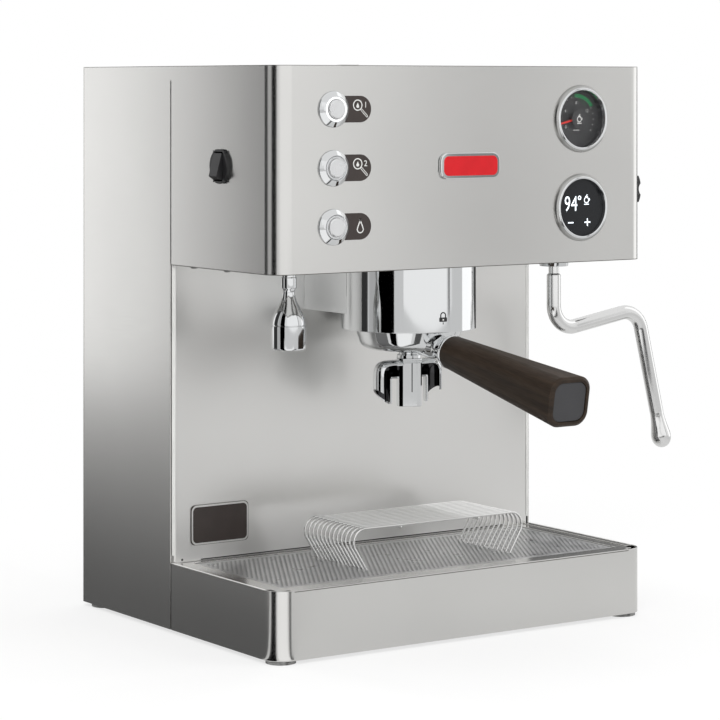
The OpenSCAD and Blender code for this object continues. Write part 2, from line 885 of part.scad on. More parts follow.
module steam_wand() color(chrome) {
  r = wand_d / 2;
  middle_l = norm([wand_reach, wand_rise]) - lower_trim - upper_trim;
  translate([tap_reach, tap_y, ball_z])
    sphere(ball_r);
  translate([tap_reach, tap_y, wand_top])
    cylinder(r = wand_neck_r, h = ball_z - wand_top);
  rod_straight([tap_reach, tap_y, wand_low + lower_trim], 0, wand_top - wand_low - lower_trim, r);
  rod_bend([tap_reach + wand_bend_r, tap_y, wand_low + lower_trim], wand_bend_r, 180, lower_turn, r);
  rod_straight([tap_reach + lower_trim * cos(rise_angle), tap_y, wand_low + lower_trim * sin(rise_angle)],
                90 - rise_angle, middle_l, r);
  rod_bend([elbow_x - upper_trim * cos(rise_angle) + wand_bend_r * sin(rise_angle), tap_y,
            elbow_z - upper_trim * sin(rise_angle) - wand_bend_r * cos(rise_angle)],
           wand_bend_r, wand_lean, upper_turn, r);
  rod_straight([elbow_x + upper_trim * sin(wand_lean), tap_y, elbow_z - upper_trim * cos(wand_lean)],
                180 - wand_lean, wand_arm - upper_trim - tip_l - bend_lap, r);
}

// Screwed tip, a drop shape with its steam hole
module wand_tip() color(chrome) {
  from = wand_arm - tip_l;
  translate([elbow_x + from * sin(wand_lean), tap_y, elbow_z - from * cos(wand_lean)])
    rotate([0, 180 - wand_lean, 0])
      rotate_extrude()
        polygon([[tip_bore_r, 0], [wand_d / 2 - 0.4, 0], [wand_d / 2 - 0.4, 3], [tip_r - 1.4, 11],
                 [tip_r, 18], [tip_r - 0.3, 21], [tip_r - 2, 24.8], [tip_r - 4.2, 26.6],
                 [tip_bore_r, tip_l]]);
}

module steam_valve() color(brass) difference() {
  union() {
    translate([tap_reach, tap_y, ball_z + ball_r + 3])
      cylinder(r = valve_r - 2, h = knob_z - ball_z - ball_r - 3);
    along_x([tap_reach - valve_front - 4, tap_y, knob_z], valve_r - 1,
            side_x - sheet - tap_reach + valve_front + 3.5);
    translate([tap_reach, tap_y, deck_z])
      difference() {
        cylinder(r = nut_r + 3, h = ball_z + ball_r + 5 - deck_z);
        translate([0, 0, -1])
          cylinder(r = nut_r - 1 + fit_gap, h = ball_z + ball_r + 4 - deck_z);
      }
  }
  along_x([tap_reach - valve_front, tap_y, knob_z], spindle_r + shaft_gap, side_x);
  translate([tap_reach, tap_y, ball_z])
    cylinder(r = tap_bore_r, h = knob_z - ball_z);
}

module steam_knob() color(black) {
  start = side_x + 1.5;
  difference() {
    union() {
      along_x([start, tap_y, knob_z], knob_d / 2, knob_l);
      along_x([spindle_start, tap_y, knob_z], spindle_r, start + 1 - spindle_start);
    }
    for (i = [0 : 7])
      translate([start + 5, tap_y, knob_z])
        rotate([45 * i, 0, 0])
          translate([0, 0, knob_d / 2 + 2.5])
            rotate([0, 90, 0])
              cylinder(r = 5, h = knob_l);
  }
}

module valve_needle() color(brass)
  along_x([spindle_start - stem_travel - 8, tap_y, knob_z], spindle_r, 8);

// ---------- front panel ----------

module instrument_rings() color(chrome)
  for (z = [gauge_z, display_z])
    turned_in_panel(instrument_x, z,
      [[instrument_d / 2, -ring_proud + 0.8], [instrument_d / 2 + 1, -ring_proud],
       [instrument_d / 2 + ring_w - 1.2, -ring_proud + 0.4], [instrument_d / 2 + ring_w, -1],
       [instrument_d / 2 + ring_w, 0], [instrument_d / 2, 0]]);

module gauge_case() color(black)
  turned_in_panel(instrument_x, gauge_z,
    [[0, dial_set], [instrument_d / 2 + 0.2, dial_set], [instrument_d / 2 + 0.2, 0], [case_d / 2, 0],
     [case_d / 2, gauge_depth], [0, gauge_depth]]);

module gauge_glass() color("white", 0.3)
  turned_in_panel(instrument_x, gauge_z,
    [[0, 0], [instrument_d / 2 - 0.1, 0], [instrument_d / 2 - 0.1, glass_t], [0, glass_t]]);

// Pointer that rests near zero, to the left and a little down
module gauge_needle() color(red)
  translate([instrument_x, front_y + dial_set, gauge_z])
    rotate([0, -13, 0]) {
      translate([-needle_l, -1.5 - needle_t, -0.5])
        cube([needle_l, needle_t, 1]);
      along_y([0, -2.2, 0], 2.2, 1.2);
      along_y([0, -1.2, 0], gauge_pin_d / 2, 0.9);
    }

module display_case() color(black)
  turned_in_panel(instrument_x, display_z,
    [[0, glass_t], [instrument_d / 2 + 0.2, glass_t], [instrument_d / 2 + 0.2, 0], [case_d / 2, 0],
     [case_d / 2, display_depth], [0, display_depth]]);

module display_glass() color(black)
  turned_in_panel(instrument_x, display_z,
    [[0, 0], [instrument_d / 2 - 0.1, 0], [instrument_d / 2 - 0.1, glass_t], [0, glass_t]]);

// Flange and barrel of the three push buttons
module button_switches() color(chrome)
  for (z = button_names_z)
    turned_in_panel(button_x, z,
      [[light_d / 2 + 0.1, 1], [light_d / 2 + 0.1, -switch_proud + 0.6], [light_d / 2 + 0.7, -switch_proud],
       [switch_d / 2 - 0.4, -1.4], [switch_d / 2, -0.9], [switch_d / 2, 0], [barrel_d / 2, 0],
       [barrel_d / 2, barrel_l], [0, barrel_l], [0, barrel_l - 2],
       [cap_guide_d / 2 + shaft_gap, barrel_l - 2],
       [cap_guide_d / 2 + shaft_gap, cap_seat + button_travel],
       [cap_d / 2 + cap_gap, cap_seat + button_travel],
       [cap_d / 2 + cap_gap, 1]]);

module light_rings() color("white")
  for (z = button_names_z)
    turned_in_panel(button_x, z,
      [[cap_d / 2 + cap_gap, 1], [cap_d / 2 + cap_gap, -switch_proud - 0.4],
       [light_d / 2, -switch_proud - 0.4], [light_d / 2, 1]]);

module push_button(z) color(steel)
  turned_in_panel(button_x, z,
    [[0, -cap_proud], [cap_d / 2 - 0.5, -cap_proud], [cap_d / 2, -cap_proud + 0.5],
     [cap_d / 2, cap_seat - 0.5], [cap_guide_d / 2, cap_seat - 0.5],
     [cap_guide_d / 2, barrel_l - 4 - button_travel], [0, barrel_l - 4 - button_travel]]);

module one_cup_button() push_button(button_names_z[0]);
module two_cup_button() push_button(button_names_z[1]);
module water_button() push_button(button_names_z[2]);

module label_plates() color(graphite) {
  for (z = button_names_z)
    translate([button_x, front_y, z])
      rotate([90, 0, 0])
        linear_extrude(plate_t)
          difference() {
            union() {
              translate([0, -plate_h / 2])
                square([plate_l - plate_h / 2, plate_h]);
              translate([plate_l - plate_h / 2, 0])
                circle(d = plate_h);
            }
            circle(d = switch_d + 0.2);
          }
  translate([-side_x + name_plate_inset + name_plate_w / 2, wall_y, name_plate_z])
    rotate([90, 0, 0])
      linear_extrude(plate_t)
        rounded_square(name_plate_w, name_plate_h, 3);
}

module badge() color(red)
  translate([0, front_y, badge_z])
    rotate([90, 0, 0])
      difference() {
        linear_extrude(badge_t)
          rounded_square(badge_w, badge_h, 5);
        translate([0, 0, badge_t - 0.8])
          linear_extrude(1)
            rounded_square(badge_w - 2 * badge_rim, badge_h - 2 * badge_rim, 4);
      }

module rocker_case() color(black) difference() {
  union() {
    along_x([-side_x - rocker_plate_t, rocker_y, rocker_z], rocker_plate_d / 2, rocker_plate_t);
    block(-side_x - rocker_plate_t, -side_x + rocker_depth, rocker_y - rocker_w / 2 - 2,
          rocker_y + rocker_w / 2 + 2, rocker_z - rocker_h / 2 - 1, rocker_z + rocker_h / 2 + 1);
  }
  block(-side_x - rocker_plate_t - 1, -side_x + rocker_depth - 6,
        rocker_y - rocker_w / 2 - fit_gap, rocker_y + rocker_w / 2 + fit_gap,
        rocker_z - rocker_h / 2 - fit_gap, rocker_z + rocker_h / 2 + fit_gap);
  along_y([-side_x, rocker_y - rocker_w / 2 - 1.5, rocker_z], rocker_pin_r + shaft_gap, rocker_w + 3);
}

// Rocker with its upper half pressed in
module power_rocker() color(black) {
  swing_r = rocker_h / 2 - 0.3;
  translate([-side_x, rocker_y - rocker_w / 2, rocker_z])
    rotate([-90, 0, 0])
      linear_extrude(rocker_w)
        polygon([for (a = [46 : -12 : -14]) swing_r * [-sin(a), cos(a)],
                 [3, 0], [0.4, 2 - swing_r], swing_r * [-sin(16), -cos(16)]]);
  along_y([-side_x, rocker_y - rocker_w / 2 - 1, rocker_z], rocker_pin_r, rocker_w + 2);
}

// ---------- drip tray ----------

module drip_tray() color(steel) {
  difference() {
    block(-tray_x, tray_x, tray_front, tray_back, pan_top, rim_z);
    block(-tray_x + sheet, tray_x - sheet, tray_front + sheet, tray_back - sheet, pan_top + sheet, base_h);
  }
  difference() {
    block(-rim_x, rim_x, rim_front, rim_back, rim_z - sheet, rim_z);
    block(-tray_x + sheet, tray_x - sheet, tray_front + sheet, tray_back - sheet, 0, base_h);
  }
  difference() {
    block(-tray_x + sheet, tray_x - sheet, tray_front + sheet, tray_back - sheet,
          grid_top - skirt_h - sheet, grid_top - skirt_h);
    block(-tray_x + sheet + ledge_w, tray_x - sheet - ledge_w, tray_front + sheet + ledge_w,
          tray_back - sheet - ledge_w, 0, base_h);
  }
}

module drip_grid() color(steel) {
  field_w = 2 * grid_x - 2 * grid_border;
  field_d = grid_back - grid_front - 2 * grid_border;
  rows = floor(field_d / slot_pitch);
  slot_l = (field_w - (slot_columns - 1) * slot_web) / slot_columns;
  difference() {
    block(-grid_x, grid_x, grid_front, grid_back, grid_top - skirt_h, grid_top);
    block(-grid_x + sheet, grid_x - sheet, grid_front + sheet, grid_back - sheet, 0, grid_top - sheet);
    for (row = [0 : rows - 1])
      for (i = [0 : slot_columns - 1])
        translate([-field_w / 2 + i * (slot_l + slot_web),
                   grid_front + grid_border + (field_d - rows * slot_pitch) / 2 + row * slot_pitch, 0])
          cube([slot_l, slot_w, base_h]);
  }
}

// One wire: two legs that lean in to their feet, two bends and the flat top
module riser_wire() {
  r = wire_d / 2;
  bend = [riser_w / 2 - r - wire_bend_r, riser_top - r - wire_bend_r];
  foot = [riser_foot_w / 2, riser_z];
  start = atan2(foot[1] - bend[1], foot[0] - bend[0]) + acos(wire_bend_r / norm(foot - bend));
  leg = bend + wire_bend_r * [cos(start), sin(start)] - foot;
  for (side = [0, 180])
    rotate(side) {
      rod_straight([foot[0], 0, foot[1] + bend_lap], atan2(leg[0], leg[1]), norm(leg) - bend_lap, r);
      rod_bend([bend[0], 0, bend[1]], wire_bend_r, start, 90 - start, r);
    }
  rod_straight([-bend[0], 0, riser_top - r], 90, 2 * bend[0], r);
}

module cup_riser() color(chrome) {
  span = (wire_count - 1) * wire_pitch;
  translate([riser_x, riser_y, 0]) {
    for (i = [0 : wire_count - 1])
      translate([0, i * wire_pitch - span / 2, 0])
        riser_wire();
    for (x = [-33, 33])
      along_y([x, -span / 2 - 1, riser_top - 1.4 * wire_d], wire_d / 2, span + 2);
  }
}

// ---------- water ----------

module water_tank() color("white", 0.4)
  difference() {
    union() {
      block(-tank_w / 2, tank_w / 2, tank_y - tank_d / 2, tank_y + tank_d / 2, tank_bottom, tank_top);
      translate([0, tank_y, tank_bottom - outlet_tube_l])
        cylinder(r = outlet_tube_r, h = outlet_tube_l + 1);
    }
    block(-tank_w / 2 + tank_wall, tank_w / 2 - tank_wall, tank_y - tank_d / 2 + tank_wall,
          tank_y + tank_d / 2 - tank_wall, tank_bottom + tank_wall, tank_top + 1);
    translate([0, tank_y, tank_bottom - outlet_tube_l - 1])
      cylinder(r = 3, h = outlet_tube_l + 5);
  }

// Lid let in flush with the top, with a skirt that finds the opening and a small grip
module tank_lid() color(steel) {
  block(-lid_x, lid_x, lid_front, lid_back, body_h - sheet, body_h);
  difference() {
    intersection() {
      tank_opening(lift_gap);
      block(-lid_x, lid_x, lid_front, back_y, body_h - sheet - lid_skirt, body_h - sheet);
    }
    tank_opening(lift_gap + lid_skirt_wall);
  }
  block(-lid_grip_w / 2, lid_grip_w / 2, lid_front, lid_front + lid_grip_d, body_h, body_h + lid_grip_h);
}

// ---------- heat and pump ----------

// A boiler: round shoulders, closed bottom, a hole in the top for its element
module boiler(r, h) {
  shoulder = 8;
  module outline(inset) {
    polygon([[0, inset], [r - inset - 2, inset], [r - inset, inset + 2], [r - inset, h - shoulder],
             [r - inset - 2.4, h - shoulder + 4.5], [r - shoulder - inset, h - inset], [0, h - inset]]);
  }
  rotate_extrude()
    difference() {
      outline(0);
      outline(boiler_wall);
      square([plug_r + shaft_gap, h + 1]);
    }
  cylinder(r = plug_r + 1, h = boiler_wall);
}

module coffee_boiler() color(brass)
  translate([0, group_y, coffee_z])
    boiler(coffee_d / 2, coffee_h);

module steam_boiler() color(steel) {
  translate([steam_x, steam_y, steam_z])
    boiler(steam_d / 2, steam_h);
  translate([steam_x, steam_y, deck_z])
    rotate_extrude()
      translate([steam_d / 2 - 10, 0])
        square([2, steam_z - deck_z]);
}

// Plug, terminals and a rod loop that hangs into the water
module heating_element(h) {
  cylinder(r = plug_r, h = 6);
  translate([0, 0, 6])
    cylinder(r = plug_flange_r, h = plug_flange_t);
  for (x = [-6, 6]) {
    translate([x, 0, 6])
      cylinder(r = 2, h = plug_flange_t + terminal_l);
    translate([x, 0, -h])
      cylinder(r = 3, h = h + 1);
  }
  translate([-6, 0, -h])
    rotate([0, 90, 0])
      cylinder(r = 3, h = 12);
}

module heating_elements() color(steel) {
  translate([0, group_y, coffee_z + coffee_h - 6])
    heating_element(coffee_h - element_gap);
  translate([steam_x, steam_y, steam_z + steam_h - 6])
    heating_element(steam_h - element_gap);
}

module pressure_valves() color(brass) {
  translate([steam_x + 26, steam_y, steam_z + steam_h])
    cylinder(r = 6, h = 8);
  translate([steam_x + 26, steam_y, steam_z + steam_h + 8 - 2])
    cylinder(r = 4, h = 2.4);
  along_x([pump_x - pump_len / 2 - end_l - 12, machine_mid_y, pump_axis_z], 9, 12);
}

// Solenoid valve: brass foot, coil and stem
module solenoid_valve() {
  translate([-11, -11, 0])
    cube([22, 22, 14]);
  translate([0, 0, 14])
    cylinder(r = 7, h = 38);
  translate([-coil_w / 2, -coil_w / 2, 16])
    cube(coil_w);
}

module solenoid_valves() color(graphite) {
  translate([-tap_reach, tap_y, deck_z])
    solenoid_valve();
  translate([-coffee_d / 2 - brew_valve_x, group_y + brew_valve_y, deck_z])
    solenoid_valve();
}

module pump_body() color(graphite)
  translate([pump_x, machine_mid_y, pump_axis_z])
    difference() {
      union() {
        translate([-pump_len / 2, -pump_h / 2, -pump_h / 2])
          cube([pump_len, pump_h, pump_h]);
        along_x([-pump_len / 2 - end_l, 0, 0], plunger_end_r, end_l + 1);
        along_x([pump_len / 2 - 1, 0, 0], plunger_tail_r, end_l + 1);
      }
      along_x([-pump_len / 2 - 4, 0, 0], pump_bore_r, pump_len + 8);
      along_x([-pump_len, 0, 0], 2, 2 * pump_len);
    }

module pump_plunger() color(steel)
  along_x([pump_x - plunger_l / 2, machine_mid_y, pump_axis_z], pump_bore_r - shaft_gap, plunger_l);

module pump_mounts() color(rubber)
  for (x = [-14, 14])
    translate([pump_x + x, machine_mid_y, pan_top])
      cylinder(r = 6, h = pump_axis_z - pump_h / 2 - pan_top);

module pipes() color(copper) {
  coffee_feed_z = coffee_z + coffee_h * 0.6;
  valve_pipe_z = steam_z + steam_h * 0.75;
  rod_run([[pump_x - pump_len / 2 - end_l - 6, machine_mid_y, pump_axis_z + 9.1],
           [pump_x - pump_len / 2 - end_l - 6, machine_mid_y, head_z - 20],
           [pump_x, machine_mid_y, head_z - 20],
           [pump_x, machine_mid_y, coffee_feed_z],
           [pump_x, group_y, coffee_feed_z],
           [-coffee_d / 2 - 0.1, group_y, coffee_feed_z]], pipe_r);
  reach = max(0, abs(steam_x - tap_reach) - pipe_r);
  rod_run([[tap_reach, tap_y, knob_z + valve_r - 0.8],
           [tap_reach, tap_y, valve_pipe_z],
           [tap_reach, steam_y - sqrt(pow(steam_d / 2, 2) - reach * reach) - 0.2, valve_pipe_z]], pipe_r);
}

module hoses() color("silver")
  rod_run([[0, tank_y, tank_bottom - outlet_tube_l - 0.2],
           [0, tank_y, pump_axis_z],
           [0, machine_mid_y, pump_axis_z],
           [pump_x + pump_len / 2 + end_l + 0.2, machine_mid_y, pump_axis_z]], hose_r);

module control_box() color(black) {
  x0 = inner_x - 10 - control_w;
  y0 = wall_y + sheet + 4;
  block(x0, x0 + control_w, y0, bay_y - 2, pan_top, pan_top + control_h);
  block(x0 - 2, x0 + control_w + 2, y0 - 1.5, bay_y - 0.5,
        pan_top + control_h - 14, pan_top + control_h - 11);
}

// ---------- mains inlet ----------

module power_inlet() color(black) {
  difference() {
    union() {
      block(inlet_x - inlet_w / 2 + fit_gap, inlet_x + inlet_w / 2 - fit_gap,
            back_y - inlet_depth, back_y + 1,
            inlet_z - inlet_h / 2 + fit_gap, inlet_z + inlet_h / 2 - fit_gap);
      block(inlet_x - inlet_w / 2 - 4, inlet_x + inlet_w / 2 + 4, back_y, back_y + 2,
            inlet_z - inlet_h / 2 - 3, inlet_z + inlet_h / 2 + 3);
    }
    block(inlet_x - socket_w / 2, inlet_x + socket_w / 2, back_y - socket_depth, back_y + 3,
          inlet_z - socket_h / 2, inlet_z + socket_h / 2);
  }
  for (pin = [[-7, -2], [7, -2], [0, 2]])
    block(inlet_x + pin[0] - pin_t / 2, inlet_x + pin[0] + pin_t / 2, back_y - socket_depth - 1, back_y - 2,
          inlet_z + pin[1] - pin_h / 2, inlet_z + pin[1] + pin_h / 2);
}

outer_shell();
base_frame();
floor_pan();
feet();
backsplash();
head_floor();
top_panel();
rear_panel();
tank_bay();
fasteners();
group_collar();
group_shroud();
group_body();
group_gasket();
shower_screen();
coffee_boiler();
steam_boiler();
heating_elements();
pressure_valves();
solenoid_valves();
pump_body();
pump_mounts();
pipes();
hoses();
control_box();
power_inlet();
hot_water_tap();
steam_valve();
wand_nut();
instrument_rings();
gauge_case();
gauge_glass();
display_case();
display_glass();
button_switches();
light_rings();
label_plates();
badge();
rocker_case();
portafilter();
spout();
filter_basket();
handle_grip();
handle_cap();
one_cup_button();
two_cup_button();
water_button();
power_rocker();
steam_knob();
valve_needle();
wand_seat();
steam_wand();
wand_tip();
gauge_needle();
pump_plunger();
drip_tray();
drip_grid();
cup_riser();
water_tank();
tank_lid();
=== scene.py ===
"""Finishes for the espresso machine's sheets and castings, and modelled pieces for its details."""

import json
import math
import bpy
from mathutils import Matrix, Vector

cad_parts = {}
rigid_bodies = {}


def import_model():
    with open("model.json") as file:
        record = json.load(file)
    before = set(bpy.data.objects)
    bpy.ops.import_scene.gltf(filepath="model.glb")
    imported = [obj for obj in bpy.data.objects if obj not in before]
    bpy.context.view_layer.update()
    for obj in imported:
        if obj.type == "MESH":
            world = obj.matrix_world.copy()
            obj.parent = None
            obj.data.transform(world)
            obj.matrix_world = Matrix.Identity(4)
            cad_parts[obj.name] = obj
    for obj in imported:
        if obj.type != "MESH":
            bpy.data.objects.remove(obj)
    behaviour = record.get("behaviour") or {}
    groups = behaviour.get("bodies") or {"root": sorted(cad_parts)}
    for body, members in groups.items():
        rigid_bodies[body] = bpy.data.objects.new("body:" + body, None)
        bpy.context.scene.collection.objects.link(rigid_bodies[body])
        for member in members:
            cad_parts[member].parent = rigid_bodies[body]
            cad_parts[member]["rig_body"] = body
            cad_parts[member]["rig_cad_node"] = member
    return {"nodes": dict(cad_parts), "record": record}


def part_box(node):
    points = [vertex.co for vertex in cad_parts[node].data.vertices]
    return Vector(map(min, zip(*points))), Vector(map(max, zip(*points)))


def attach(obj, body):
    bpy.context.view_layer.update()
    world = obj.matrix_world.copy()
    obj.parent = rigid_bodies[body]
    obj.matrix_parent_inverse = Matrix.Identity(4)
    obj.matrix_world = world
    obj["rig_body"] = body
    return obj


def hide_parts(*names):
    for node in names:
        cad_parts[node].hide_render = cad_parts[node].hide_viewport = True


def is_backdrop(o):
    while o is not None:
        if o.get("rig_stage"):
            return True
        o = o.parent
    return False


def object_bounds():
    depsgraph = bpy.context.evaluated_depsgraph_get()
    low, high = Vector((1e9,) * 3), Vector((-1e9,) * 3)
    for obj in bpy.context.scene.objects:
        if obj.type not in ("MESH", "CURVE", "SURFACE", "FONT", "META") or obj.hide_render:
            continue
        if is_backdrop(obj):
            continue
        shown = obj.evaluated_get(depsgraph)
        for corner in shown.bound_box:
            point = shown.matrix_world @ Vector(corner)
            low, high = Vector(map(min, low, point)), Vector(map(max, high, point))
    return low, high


bl_info = {
    "name": "Espresso Machine Dressing",
    "version": (1, 0, 0),
    "blender": (4, 5, 0),
    "location": "View3D > Sidebar > Espresso",
    "description": "Models the visible details of a home espresso machine around its CAD frame",
    "category": "Object",
}

from contextlib import contextmanager

import bmesh
import bpy
from bpy.props import FloatProperty, FloatVectorProperty, IntProperty, PointerProperty
from mathutils import Matrix, Vector

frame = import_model()
MM = 0.001


# ---------- places from the frame, in millimetres ----------


def box(node):
    """A node's lowest and highest corners."""
    low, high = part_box(node)
    return low / MM, high / MM


def middle(node):
    """Centre of a node's box."""
    low, high = box(node)
    return (low + high) / 2


SHELL_LOW, SHELL_HIGH = box("outer_shell")
FRONT, SIDE = SHELL_LOW.y, SHELL_HIGH.x
WALL = box("backsplash")[0].y
BOWL_Z, HEAD = (corner.z for corner in box("group_collar"))
HANDLE_Z = BOWL_Z - 4.3
GROUP, GAUGE, DISPLAY, TAP = (
    middle(node) for node in ("group_collar", "gauge_glass", "display_glass", "hot_water_tap")
)
SLOTS = {row["node"]: row["material_slot"] for row in frame["record"]["subparts"]}


# ---------- sizes and colours ----------


class ESPRESSO_SteelLook(bpy.types.PropertyGroup):
    color: FloatVectorProperty(
        name="Colour", description="Colour of the bare steel", subtype="COLOR", size=3,
        default=(0.66, 0.655, 0.64),
    )
    roughness: FloatProperty(
        name="Roughness", description="Blur of the satin finish", subtype="FACTOR",
        default=0.21, min=0.05, max=0.7,
    )
    grain: FloatProperty(
        name="Grain", description="Strength of the brush marks", subtype="FACTOR",
        default=0.25, min=0, max=1,
    )
    edge: FloatProperty(
        name="Edge", description="Width of the broken edges", subtype="DISTANCE",
        default=0.25 * MM, min=0, max=1 * MM,
    )


class ESPRESSO_GridSizes(bpy.types.PropertyGroup):
    pitch: FloatProperty(
        name="Pitch", description="Distance between two holes", subtype="DISTANCE",
        default=3.6 * MM, min=3 * MM, max=10 * MM,
    )
    hole: FloatProperty(
        name="Hole", description="Width of a hole", subtype="DISTANCE",
        default=2.05 * MM, min=1.5 * MM, max=6 * MM,
    )
    sheet: FloatProperty(
        name="Sheet", description="Thickness of the grid's sheet", subtype="DISTANCE",
        default=1 * MM, min=0.5 * MM, max=2 * MM,
    )


class ESPRESSO_HandleSizes(bpy.types.PropertyGroup):
    drop: FloatProperty(
        name="Drop", description="Slope of the handle", subtype="ANGLE",
        default=math.radians(9.7), min=0, max=0.5,
    )
    root: FloatProperty(
        name="Root", description="Diameter at the bowl's end", subtype="DISTANCE",
        default=23 * MM, min=18 * MM, max=30 * MM,
    )
    end: FloatProperty(
        name="End", description="Width of the squared end", subtype="DISTANCE",
        default=33 * MM, min=25 * MM, max=40 * MM,
    )
    wood: FloatVectorProperty(
        name="Wood", description="Colour of the oiled walnut", subtype="COLOR", size=3,
        default=(0.029, 0.0185, 0.0112),
    )


class ESPRESSO_DialSizes(bpy.types.PropertyGroup):
    span: FloatProperty(
        name="Span", description="Angle over the scale", subtype="ANGLE",
        default=math.radians(244), min=1, max=5,
    )
    ticks: IntProperty(name="Ticks", description="Number of steps on the scale", default=16, min=4, max=40)
    good: FloatVectorProperty(
        name="Good range", description="Colour of the brewing range", subtype="COLOR", size=3,
        default=(0.02, 0.28, 0.09),
    )


class ESPRESSO_Look(bpy.types.PropertyGroup):
    steel: PointerProperty(type=ESPRESSO_SteelLook)
    grid: PointerProperty(type=ESPRESSO_GridSizes)
    handle: PointerProperty(type=ESPRESSO_HandleSizes)
    dial: PointerProperty(type=ESPRESSO_DialSizes)
    enamel: FloatVectorProperty(
        name="Enamel", description="Colour of the badge", subtype="COLOR", size=3,
        default=(0.60, 0.008, 0.014),
    )


def look():
    return bpy.context.scene.espresso


# ---------- materials ----------


def add_node(tree, kind, inputs=(), **settings):
    """Adds a shader node. An input that is a socket is linked, and any other is set."""
    node = tree.nodes.new("ShaderNode" + kind)
    for key, value in settings.items():
        setattr(node, key, value)
    for key, value in dict(inputs).items():
        if isinstance(value, bpy.types.NodeSocket):
            tree.links.new(value, node.inputs[key])
        else:
            node.inputs[key].default_value = value
    return node


def shaded(color, factor):
    return tuple(min(1, c * factor) for c in color)


class Nodes:
    """Short hand for one material's node tree."""

    def __init__(self, name):
        self.material = bpy.data.materials.new(name)
        self.material.use_nodes = True
        self.tree = self.material.node_tree
        self.shader = self.tree.nodes["Principled BSDF"]
        self.place = self.node("TexCoord").outputs["Object"]

    def node(self, kind, inputs=(), **settings):
        return add_node(self.tree, kind, inputs, **settings)

    def set(self, **values):
        for name, value in values.items():
            socket = self.shader.inputs[name.replace("_", " ")]
            socket.default_value = (*value, 1) if hasattr(value, "__len__") else value
        return self

    def link(self, source, target):
        self.tree.links.new(source, self.shader.inputs[target])
        return self

    def shown_as(self, shader):
        """Lets another shader make the surface."""
        self.tree.links.new(shader.outputs[0], self.tree.nodes["Material Output"].inputs[0])
        return self.material

    def noise(self, scale, detail=3, turn=(0, 0, 0)):
        """Noise on the piece's own coordinates, turned, with a scale per metre along each axis."""
        turned = self.node("Mapping", {"Vector": self.place, "Rotation": turn})
        mapped = self.node("Mapping", {"Vector": turned.outputs[0], "Scale": scale})
        return self.node("TexNoise", {"Vector": mapped.outputs[0], "Scale": 1, "Detail": detail}).outputs[0]

    def ranged(self, value, low=0, high=1):
        """Spreads a noise's middle part over a range."""
        limits = {"Value": value, "From Min": 0.3, "From Max": 0.7, "To Min": low, "To Max": high}
        return self.node("MapRange", limits).outputs[0]

    def mixed(self, factor, first, second, blend="MIX"):
        """Mixes two colours, each given as a colour or a socket."""
        first, second = (c if isinstance(c, bpy.types.NodeSocket) else (*c, 1) for c in (first, second))
        ends = {0: factor, 6: first, 7: second}
        return self.node("Mix", ends, data_type="RGBA", blend_type=blend).outputs[2]

    def clouded(self, color, scale, darkest, palest, detail=3):
        """A colour that drifts a little over the surface."""
        cloud = self.ranged(self.noise((scale,) * 3, detail))
        return self.link(self.mixed(cloud, shaded(color, darkest), shaded(color, palest)), "Base Color")

    def blurred(self, value, low, high):
        """Roughness that follows a noise."""
        return self.link(self.ranged(value, low, high), "Roughness")

    def bump(self, height, depth, strength=1.0):
        made = self.node("Bump", {"Height": height, "Distance": depth, "Strength": strength})
        return self.link(made.outputs[0], "Normal")


def brushed(name, across, rougher=0.0, painted_light=1.0):
    """Satin steel whose brush marks lie across one axis."""
    steel = look().steel
    blur, spread = steel.roughness + rougher, 0.06 * steel.grain
    fine = [40.0, 40.0, 40.0]
    fine["XYZ".index(across)] = 5200.0
    made = Nodes(name).set(Metallic=1.0)
    marks = made.noise(fine, 4)
    made.blurred(marks, blur - spread, blur + spread)
    # painted_light raises the whole colour, standing in for more light on the piece.
    made.clouded(steel.color, 9, 0.975 * painted_light, 1.02 * painted_light, 2)
    return made.bump(marks, 0.0004 * MM, steel.grain).material


def polished(name, color=(0.69, 0.70, 0.705), roughness=0.05):
    """Polished metal with faint smears."""
    made = Nodes(name).set(Metallic=1.0, Base_Color=color)
    return made.blurred(made.noise((60, 60, 60)), roughness * 0.8, roughness * 1.3).material


def moulded(name, color, roughness=0.45, grain=0.02):
    """Moulded plastic with a fine texture, whose depth is given in millimetres."""
    made = Nodes(name).clouded(color, 70, 0.93, 1.06)
    fine = made.noise((1600, 1600, 1600), 2)
    return made.blurred(fine, roughness - 0.05, roughness + 0.05).bump(fine, grain * MM, 0.35).material


def cast(name, color, roughness=0.34):
    """Machined or drawn metal with tool marks."""
    made = Nodes(name).set(Metallic=1.0).clouded(color, 40, 0.88, 1.08)
    return made.blurred(made.noise((300, 300, 1200)), roughness - 0.07, roughness + 0.07).material


def walnut(name):
    """Dark oiled wood with its grain along the handle."""
    handle = look().handle
    made = Nodes(name).set(Specular_IOR_Level=0.25)
    turn = (-handle.drop, 0, 0)
    broad = made.noise((90, 9, 260), 4, turn)
    pores = made.noise((1500, 45, 1500), 3, turn)
    wood = made.mixed(made.ranged(broad), shaded(handle.wood, 0.62), shaded(handle.wood, 1.45))
    tint = made.mixed(made.ranged(pores), (0.62, 0.58, 0.55), (1, 1, 1))
    made.link(made.mixed(0.8, wood, tint, "MULTIPLY"), "Base Color")
    return made.blurred(pores, 0.56, 0.44).bump(pores, 0.04 * MM, 0.5).material


def clear(name, scale, low, high, **values):
    """Glass or clear plastic, with its roughness between two levels."""
    made = Nodes(name).set(**values)
    return made.blurred(made.noise((scale,) * 3), low, high).material


def glowing(name, color, strength):
    lit = Nodes(name).set(Base_Color=color, Roughness=0.4, Emission_Color=color)
    return lit.set(Emission_Strength=strength).material


def enamelled(name, color):
    """Glossy enamel that lies a little unevenly."""
    return Nodes(name).set(Roughness=0.2, Specular_IOR_Level=0.35).clouded(color, 120, 0.94, 1.04).material


MATERIALS = {}


